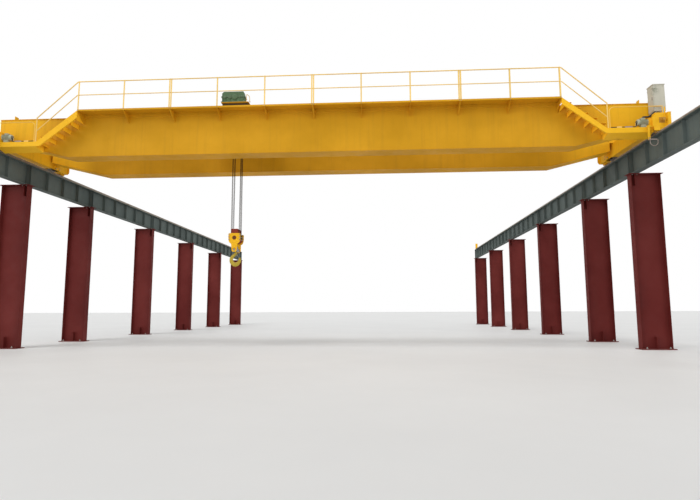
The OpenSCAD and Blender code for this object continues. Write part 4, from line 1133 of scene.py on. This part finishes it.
class CRANE_OT_gear_case(bpy.types.Operator):
    """Flange bolts, ribs, bearing caps, covers and lifting eyes of the hoist's gear case"""

    bl_idname = "crane.gear_case"
    bl_label = "Gear case fittings"

    def execute(self, context):
        piece = Piece("green")
        low, high = CASE
        y0, y1, top = low.y, high.y, high.z
        x0, x1 = low.x + 0.03, high.x - 0.03
        shelf = CASE_FOOT + 0.03

        def row(count, margin):
            return [x0 + margin + i * (x1 - x0 - 2 * margin) / (count - 1) for i in range(count)]

        # Ribs below the split flange, its bolts and those of the foot, front and back
        rib = [(0, 0), (0.018, 0), (0.018, 0.045), (0.006, 0.15), (0, 0.15)]
        for x, (face, y) in product(row(7, 0.04), ((-1, y0 + 0.02), (1, y1 - 0.02))):
            piece.extrude(rib, (x - 0.006, y, shelf), (0, face, 0), UP, (0.012, 0, 0))
        for x, y in product(row(10, 0.01), (y0 + 0.010, y1 - 0.010)):
            piece.screw((x, y, DRUM_Z + 0.02), UP, 0.0075, 0.005)
            piece.screw((x, y, DRUM_Z - 0.02), DOWN, 0.0075)
        for x, y in product(row(5, 0.03), (y0 + 0.008, y1 - 0.012)):
            piece.screw((x, y, shelf), UP, 0.008)
        # Bearing caps with their screws
        for x, r in ((MOTOR_X, 0.05), ((MOTOR_X + DRUM_X) / 2, 0.062), (DRUM_X, 0.09)):
            piece.disc((x, y0 + 0.002, DRUM_Z), (0, -1, 0), 0.006, r, 0.009, r * 0.9)
            for c, s in around(6, 30):
                piece.screw((x + r * 0.75 * c, y0 - 0.005, DRUM_Z + r * 0.75 * s), (0, -1, 0),
                            0.0045)
        # Inspection cover and lifting eyes on the upper half
        mid, ym = (x0 + x1) / 2, (y0 + y1) / 2
        piece.block((mid - 0.15, ym - 0.07, top), (mid + 0.15, ym + 0.07, top + 0.008), edge=0.01)
        for dx, dy in product((-0.13, 0, 0.13), (-0.055, 0.055)):
            piece.screw((mid + dx, ym + dy, top + 0.008), UP, 0.005)
        for x in (x0 + 0.11, x1 - 0.09):
            piece.tube(arc((x, ym, top - 0.014), 0.022, -20, 200, 12), 0.006)
        piece.build("gear_case_fittings", "trolley", bevel=0.001)
        return {"FINISHED"}


class CRANE_OT_hoist_motor(bpy.types.Operator):
    """Fins, cowl and terminal box of the hoist motor, and the shoes of its brake"""

    bl_idname = "crane.hoist_motor"
    bl_label = "Hoist motor and brake fittings"

    def execute(self, context):
        piece = Piece("green")
        x, y0, y1, z = MOTOR_X, MOTOR[0].y, MOTOR[1].y, DRUM_Z
        body_r, cowl_r = 0.125, 0.14
        motor_fins(piece, (x, y0 + 0.03, z), (x, y1 - 0.115, z), body_r,
                   context.scene.crane_sizes.fins)
        fan_cowl(piece, (x, y1 - 0.015, z), (0, 1, 0), cowl_r)
        piece.block((x - 0.076, y0 + 0.115, z + 0.187), (x + 0.076, y0 + 0.285, z + 0.195),
                    edge=0.01)
        for c, s in around(8):
            piece.screw((x + 0.132 * c, y0 + 0.025, z + 0.132 * s), (0, 1, 0), 0.006)
        # Drum brake: two shoes on arms, tied above by the release rod
        brake_y = y0 - 0.12
        arm = [(-0.014, -0.19), (0.014, -0.19), (0.014, 0.17), (-0.014, 0.17)]
        for s in BOTH:
            lining = (arc((x, 0, z), BRAKE_R + 0.003, 90 - s * 55, 90 - s * 125, 10)
                      + arc((x, 0, z), BRAKE_R + 0.022, 90 - s * 125, 90 - s * 55, 10))
            arm_x = x + s * (BRAKE_R + 0.035)
            for outline, origin, depth, finish in (
                    ([(p[0], p[2]) for p in lining], (0, brake_y - 0.042, 0), 0.084, "black"),
                    (arm, (arm_x, brake_y - 0.03, z), 0.02, "yellow"),
                    (arm, (arm_x, brake_y + 0.01, z), 0.02, "yellow")):
                piece.extrude(outline, origin, (1, 0, 0), UP, (0, depth, 0), finish)
            piece.rod((arm_x, brake_y - 0.045, z), (arm_x, brake_y + 0.045, z), 0.009, 10, "bolt")
        piece.rod((x - 0.19, brake_y, z + 0.155), (x + 0.185, brake_y, z + 0.155), 0.008, 10,
                  "bolt")
        piece.build("hoist_motor_fittings", "trolley", bevel=0.001)
        return {"FINISHED"}


class CRANE_OT_rope_turns(bpy.types.Operator):
    """Rope on the drum and over the upper sheaves, which stays with the trolley"""

    bl_idname = "crane.rope_turns"
    bl_label = "Rope on the drum"

    def execute(self, context):
        piece = Piece("rope")
        sides = context.scene.crane_sizes.strands
        r, groove_pitch = DRUM_R + ROPE_R, 0.021
        for end, lead in ((-0.36, -1.5 * SHEAVE_GAP), (0.45, 1.5 * SHEAVE_GAP)):
            turns = abs(end - lead) / groove_pitch
            steps = int(turns * 24)
            path = []
            for i in range(steps + 1):
                k = i / steps
                a = pi - (1 - k) * turns * 2 * pi * (1 if end > 0 else -1)
                path.append((DRUM_X + r * cos(a), BRIDGE_Y + end + (lead - end) * k,
                             DRUM_Z + r * sin(a)))
            piece.tube(path, ROPE_R, sides)
        for s in BOTH:
            piece.tube(arc((HOOK_X, BRIDGE_Y + s * SHEAVE_GAP, UPPER_Z), SHEAVE_R, 0, 180, 20),
                       ROPE_R, sides)
        piece.build("rope_on_drum", "trolley")
        return {"FINISHED"}


class CRANE_OT_falls(bpy.types.Operator):
    """Taut falls between the trolley and the hook block"""

    bl_idname = "crane.falls"
    bl_label = "Rope falls"

    def execute(self, context):
        half, full = SHEAVE_GAP / 2, SHEAVE_GAP
        # Each rope's side along X, and its foot and top along Y
        falls = [(side, s * foot, s * top)
                 for side, foot, top in ((-1, half, full), (1, full * 1.5, full), (1, half, half))
                 for s in BOTH]
        leads = [(-1, s * full * 1.5, s * full * 1.5) for s in BOTH]
        for name, node, ropes, top_z in (("rope_falls", "hoist_falls", falls, UPPER_Z),
                                         ("rope_leads", "drum_leads", leads, DRUM_Z)):
            piece = Piece("rope")
            for side, foot_y, top_y in ropes:
                path = []
                for i in range(FALL_STEPS + 1):
                    k = i / FALL_STEPS
                    path.append((HOOK_X + side * SHEAVE_R, BRIDGE_Y + top_y + (foot_y - top_y) * k,
                                 top_z + (PIN_Z - top_z) * k))
                piece.tube(path, ROPE_R, context.scene.crane_sizes.strands)
            made = piece.build(name, ("trolley", "hook_block", (HOOK_X, BRIDGE_Y, top_z),
                                      (HOOK_X, BRIDGE_Y, PIN_Z)))
            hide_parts(node)
        return {"FINISHED"}


class CRANE_OT_trolley_fittings(bpy.types.Operator):
    """Deck bolts, bearing caps, sheave axle plates and the hoop beside the gear case"""

    bl_idname = "crane.trolley_fittings"
    bl_label = "Trolley fittings"

    def execute(self, context):
        piece = Piece("yellow")
        for s in BOTH:
            out, y = (0, s, 0), BRIDGE_Y + s * FRAME_HALF_Y
            # Bearing caps of the wheels on the side beams' outer plates
            for e in BOTH:
                x = HOOK_X + e * TROLLEY_WHEEL_X
                piece.disc((x, y, TROLLEY_AXLE_Z), out, 0.016, 0.085, 0.020, 0.078)
                for c, d in around(4, 45):
                    piece.screw((x + 0.065 * c, y + s * 0.018, TROLLEY_AXLE_Z + 0.065 * d), out,
                                0.007)
            axle_y = BRIDGE_Y + s * 0.250
            piece.block((HOOK_X - 0.12, axle_y - 0.006, UPPER_Z - 0.03),
                        (HOOK_X + 0.02, axle_y + 0.006, UPPER_Z + 0.015))
        # Seam bolts round the deck's edge
        reach = FRAME_HALF_X - 0.08
        for i, s in product(range(13), BOTH):
            piece.bolt((HOOK_X - reach + i * reach / 6, BRIDGE_Y + s * (FRAME_HALF_Y - 0.04),
                        FRAME_TOP), UP, 0.008)
        # Bent-pipe hoop at the gear case's right-hand end
        x, y, z = CASE[1].x + 0.035, CASE[0].y + 0.06, CASE_FOOT
        piece.tube(smooth_path([(x, y, z), (x, y, z + 0.31), (x + 0.12, y, z + 0.22),
                                (x + 0.13, y, z)]), 0.011, 8, "rail")
        for foot_x in (x, x + 0.13):
            piece.lathe((foot_x, y, z), UP, [(0, 0.028), (0.006, 0.028)], 14, "rail")
        piece.build("trolley_fittings", "trolley", bevel=0.001)
        return {"FINISHED"}


# Hook block


class CRANE_OT_block_ropes(bpy.types.Operator):
    """Rope round the sheaves of the hook block"""

    bl_idname = "crane.block_ropes"
    bl_label = "Rope on the hook block"

    def execute(self, context):
        piece = Piece("rope")
        for k in (-1.5, -0.5, 0.5, 1.5):
            piece.tube(arc((HOOK_X, BRIDGE_Y + k * SHEAVE_GAP, PIN_Z), SHEAVE_R, 180, 360, 20),
                       ROPE_R, context.scene.crane_sizes.strands)
        piece.build("rope_on_block", "hook_block")
        return {"FINISHED"}


class CRANE_OT_block_fittings(bpy.types.Operator):
    """Tie bolts, axle keepers and nuts of the hook block"""

    bl_idname = "crane.block_fittings"
    bl_label = "Hook block fittings"

    def execute(self, context):
        piece = Piece("yellow")
        y0, y1 = BLOCK[0].y, BLOCK[1].y
        faces = ((y0, -1), (y1, 1))
        for s, (dx, dz) in product(BOTH, ((0.195, 0.12), (0.195, 0.03), (0.190, -0.06))):
            x, z = HOOK_X + s * dx, PIN_Z + dz
            piece.rod((x, y0 + 0.005, z), (x, y1 - 0.005, z), 0.011, 12, "steel")
            for y, out in faces:
                piece.bolt((x, y, z), (0, out, 0), 0.011, stud=0.006)
        trunnion_top = PIN_Z - 0.44 + 0.035
        for y, out in faces:
            # Keeper plate over the crosshead's trunnion, then the axle's rim and end
            plate_y = y + out * 0.010
            piece.block((HOOK_X - 0.055, y, trunnion_top - 0.012),
                        (HOOK_X + 0.055, plate_y, trunnion_top + 0.030))
            for dx in (-0.038, 0.038):
                piece.screw((HOOK_X + dx, plate_y, trunnion_top + 0.012), (0, out, 0), 0.007,
                            finish="yellow")
            piece.disc((HOOK_X, y, PIN_Z), (0, out, 0), 0.004, 0.075, 0.006, 0.070, 36, "red")
            piece.lathe((HOOK_X, y, PIN_Z), (0, out, 0),
                        [(0.005, 0.056), (0.012, 0.056), (0.014, 0.050)], 28, "axle")
        piece.build("block_fittings", "hook_block", bevel=0.001)
        return {"FINISHED"}


class CRANE_OT_latch_spring(bpy.types.Operator):
    """Coil spring on the latch's pin"""

    bl_idname = "crane.latch_spring"
    bl_label = "Latch spring"

    def execute(self, context):
        piece = Piece("bolt")
        r, steps, per_turn = 0.0095, 60, 12
        path = []
        for i in range(steps + 1):
            a = 2 * pi * i / per_turn
            path.append((LATCH_X + r * cos(a), BRIDGE_Y - 0.0245 - 0.012 * i / steps,
                         LATCH_Z + r * sin(a)))
        piece.tube(path, 0.0012, 6)
        piece.build("latch_spring", "latch")
        return {"FINISHED"}


# Stage

FOCAL_PIXELS, IMAGE_WIDTH, SENSOR_WIDTH = 508.9, 700, 36
CAMERA_PLACE = (2.225, -29.989, 1.383)
CAMERA_TURNS = (-3.404, 6.688, -0.178)
FLOOR_HALF = 400.0


def make_floor(scene, pale):
    """A pale floor that reaches past every view."""
    mesh = bpy.data.meshes.new("floor")
    mesh.from_pydata([(x * FLOOR_HALF, y * FLOOR_HALF, 0)
                      for x, y in ((-1, -1), (1, -1), (1, 1), (-1, 1))], [], [[0, 1, 2, 3]])
    plane = bpy.data.objects.new("floor", mesh)
    scene.collection.objects.link(plane)
    f = Finish("Pale floor")
    base = f.mix(f.spread(f.noise(0.2, 4.0), 0.3, 0.7), shade(pale, 0.97), shade(pale, 1.02))
    mesh.materials.append(f.finish(base, f.spread(f.noise(1.5), 0.3, 0.7, 0.55, 0.7)))


def make_world(scene, sky):
    """Even light all round, seen by the camera and in reflections as plain white."""
    scene.world = bpy.data.worlds.new("Studio")
    scene.world.use_nodes = True
    tree = scene.world.node_tree
    tree.nodes.clear()
    made = {kind: tree.nodes.new("ShaderNode" + kind)
            for kind in ("OutputWorld", "LightPath", "MixShader")}
    lights = []
    for tint, power in (((0.98, 0.99, 1.0, 1), sky), ((1, 1, 1, 1), 1.0)):
        light = tree.nodes.new("ShaderNodeBackground")
        light.inputs["Color"].default_value = tint
        light.inputs["Strength"].default_value = power
        lights.append(light)
    rays = made["LightPath"].outputs
    either = rays["Is Camera Ray"]
    for name in ("Is Glossy Ray", "Is Transmission Ray"):
        total = tree.nodes.new("ShaderNodeMath")
        total.operation = "MAXIMUM"
        tree.links.new(either, total.inputs[0])
        tree.links.new(rays[name], total.inputs[1])
        either = total.outputs[0]
    sources = (either, lights[0].outputs[0], lights[1].outputs[0])
    for source, socket in zip(sources, made["MixShader"].inputs):
        tree.links.new(source, socket)
    tree.links.new(made["MixShader"].outputs[0], made["OutputWorld"].inputs[0])


def make_camera(scene):
    """The camera at the photograph's place and viewing angle."""
    camera = bpy.data.objects.new("Camera", bpy.data.cameras.new("Camera"))
    scene.collection.objects.link(camera)
    camera.data.sensor_width = SENSOR_WIDTH
    camera.data.lens = SENSOR_WIDTH * FOCAL_PIXELS / IMAGE_WIDTH
    camera.data.clip_end = 300
    yaw, pitch, roll = map(radians, CAMERA_TURNS)
    level = Vector((sin(yaw), cos(yaw), 0))
    right = Vector((cos(yaw), -sin(yaw), 0))
    ahead = level * cos(pitch) + Vector((0, 0, sin(pitch)))
    up = -level * sin(pitch) + Vector((0, 0, cos(pitch)))
    right, up = right * cos(roll) + up * sin(roll), -right * sin(roll) + up * cos(roll)
    turn = Matrix((right, up, -ahead)).transposed()
    camera.matrix_world = Matrix.Translation(CAMERA_PLACE) @ turn.to_4x4()
    scene.camera = camera


class CRANE_OT_stage(bpy.types.Operator):
    """Floor, background, lamps and the camera at the photograph's viewing angle"""

    bl_idname = "crane.stage"
    bl_label = "Stage"

    def execute(self, context):
        scene = context.scene
        settings = scene.crane_stage
        make_floor(scene, tuple(settings.floor))
        make_world(scene, settings.sky)
        for name, energy, angle, turns in (
                ("Key", settings.sun, 25, (28, -12, 0)),
                ("Left fill", settings.fill_left, 40, (84, 0, -60)),
                ("Right fill", settings.fill_right, 40, (84, 0, 60))):
            sun = bpy.data.lights.new(name, "SUN")
            sun.energy, sun.angle = energy, radians(angle)
            lamp = bpy.data.objects.new(name, sun)
            lamp.rotation_euler = [radians(turn) for turn in turns]
            scene.collection.objects.link(lamp)
        make_camera(scene)
        scene.view_settings.view_transform = "Standard"
        return {"FINISHED"}


OPERATORS = (
    CRANE_OT_paint, CRANE_OT_anchor_bolts, CRANE_OT_seat_bolts, CRANE_OT_crane_rail_clips,
    CRANE_OT_trolley_rail_clips, CRANE_OT_girder_welds, CRANE_OT_tread_plate,
    CRANE_OT_handrail_fittings, CRANE_OT_stairs, CRANE_OT_platform_soffits,
    CRANE_OT_collector, CRANE_OT_truck_fittings, CRANE_OT_travel_drives, CRANE_OT_cabinet,
    CRANE_OT_conduits, CRANE_OT_gear_case, CRANE_OT_hoist_motor, CRANE_OT_rope_turns,
    CRANE_OT_falls, CRANE_OT_trolley_fittings, CRANE_OT_block_ropes, CRANE_OT_block_fittings,
    CRANE_OT_latch_spring, CRANE_OT_stage,
)


class CRANE_PT_panel(bpy.types.Panel):
    """Lists the crane's settings and its pieces"""

    bl_idname = "CRANE_PT_panel"
    bl_label = "Overhead bridge crane"
    bl_space_type = "VIEW_3D"
    bl_region_type = "UI"
    bl_category = "Crane"

    def draw(self, context):
        for group in (context.scene.crane_colours, context.scene.crane_sizes,
                      context.scene.crane_stage):
            box = self.layout.box()
            for name in group.__annotations__:
                box.prop(group, name)
        for operator in OPERATORS:
            self.layout.operator(operator.bl_idname)


CLASSES = (CraneColours, CraneSizes, CraneStage) + OPERATORS + (CRANE_PT_panel,)


def register():
    for cls in CLASSES:
        bpy.utils.register_class(cls)
    bpy.types.Scene.crane_colours = PointerProperty(type=CraneColours)
    bpy.types.Scene.crane_sizes = PointerProperty(type=CraneSizes)
    bpy.types.Scene.crane_stage = PointerProperty(type=CraneStage)


def unregister():
    del bpy.types.Scene.crane_stage
    del bpy.types.Scene.crane_sizes
    del bpy.types.Scene.crane_colours
    for cls in reversed(CLASSES):
        bpy.utils.unregister_class(cls)


def main():
    """Registers the classes and makes every piece."""
    register()
    for operator in OPERATORS:
        group, name = operator.bl_idname.split(".")
        getattr(getattr(bpy.ops, group), name)()


if __name__ == "__main__":
    main()
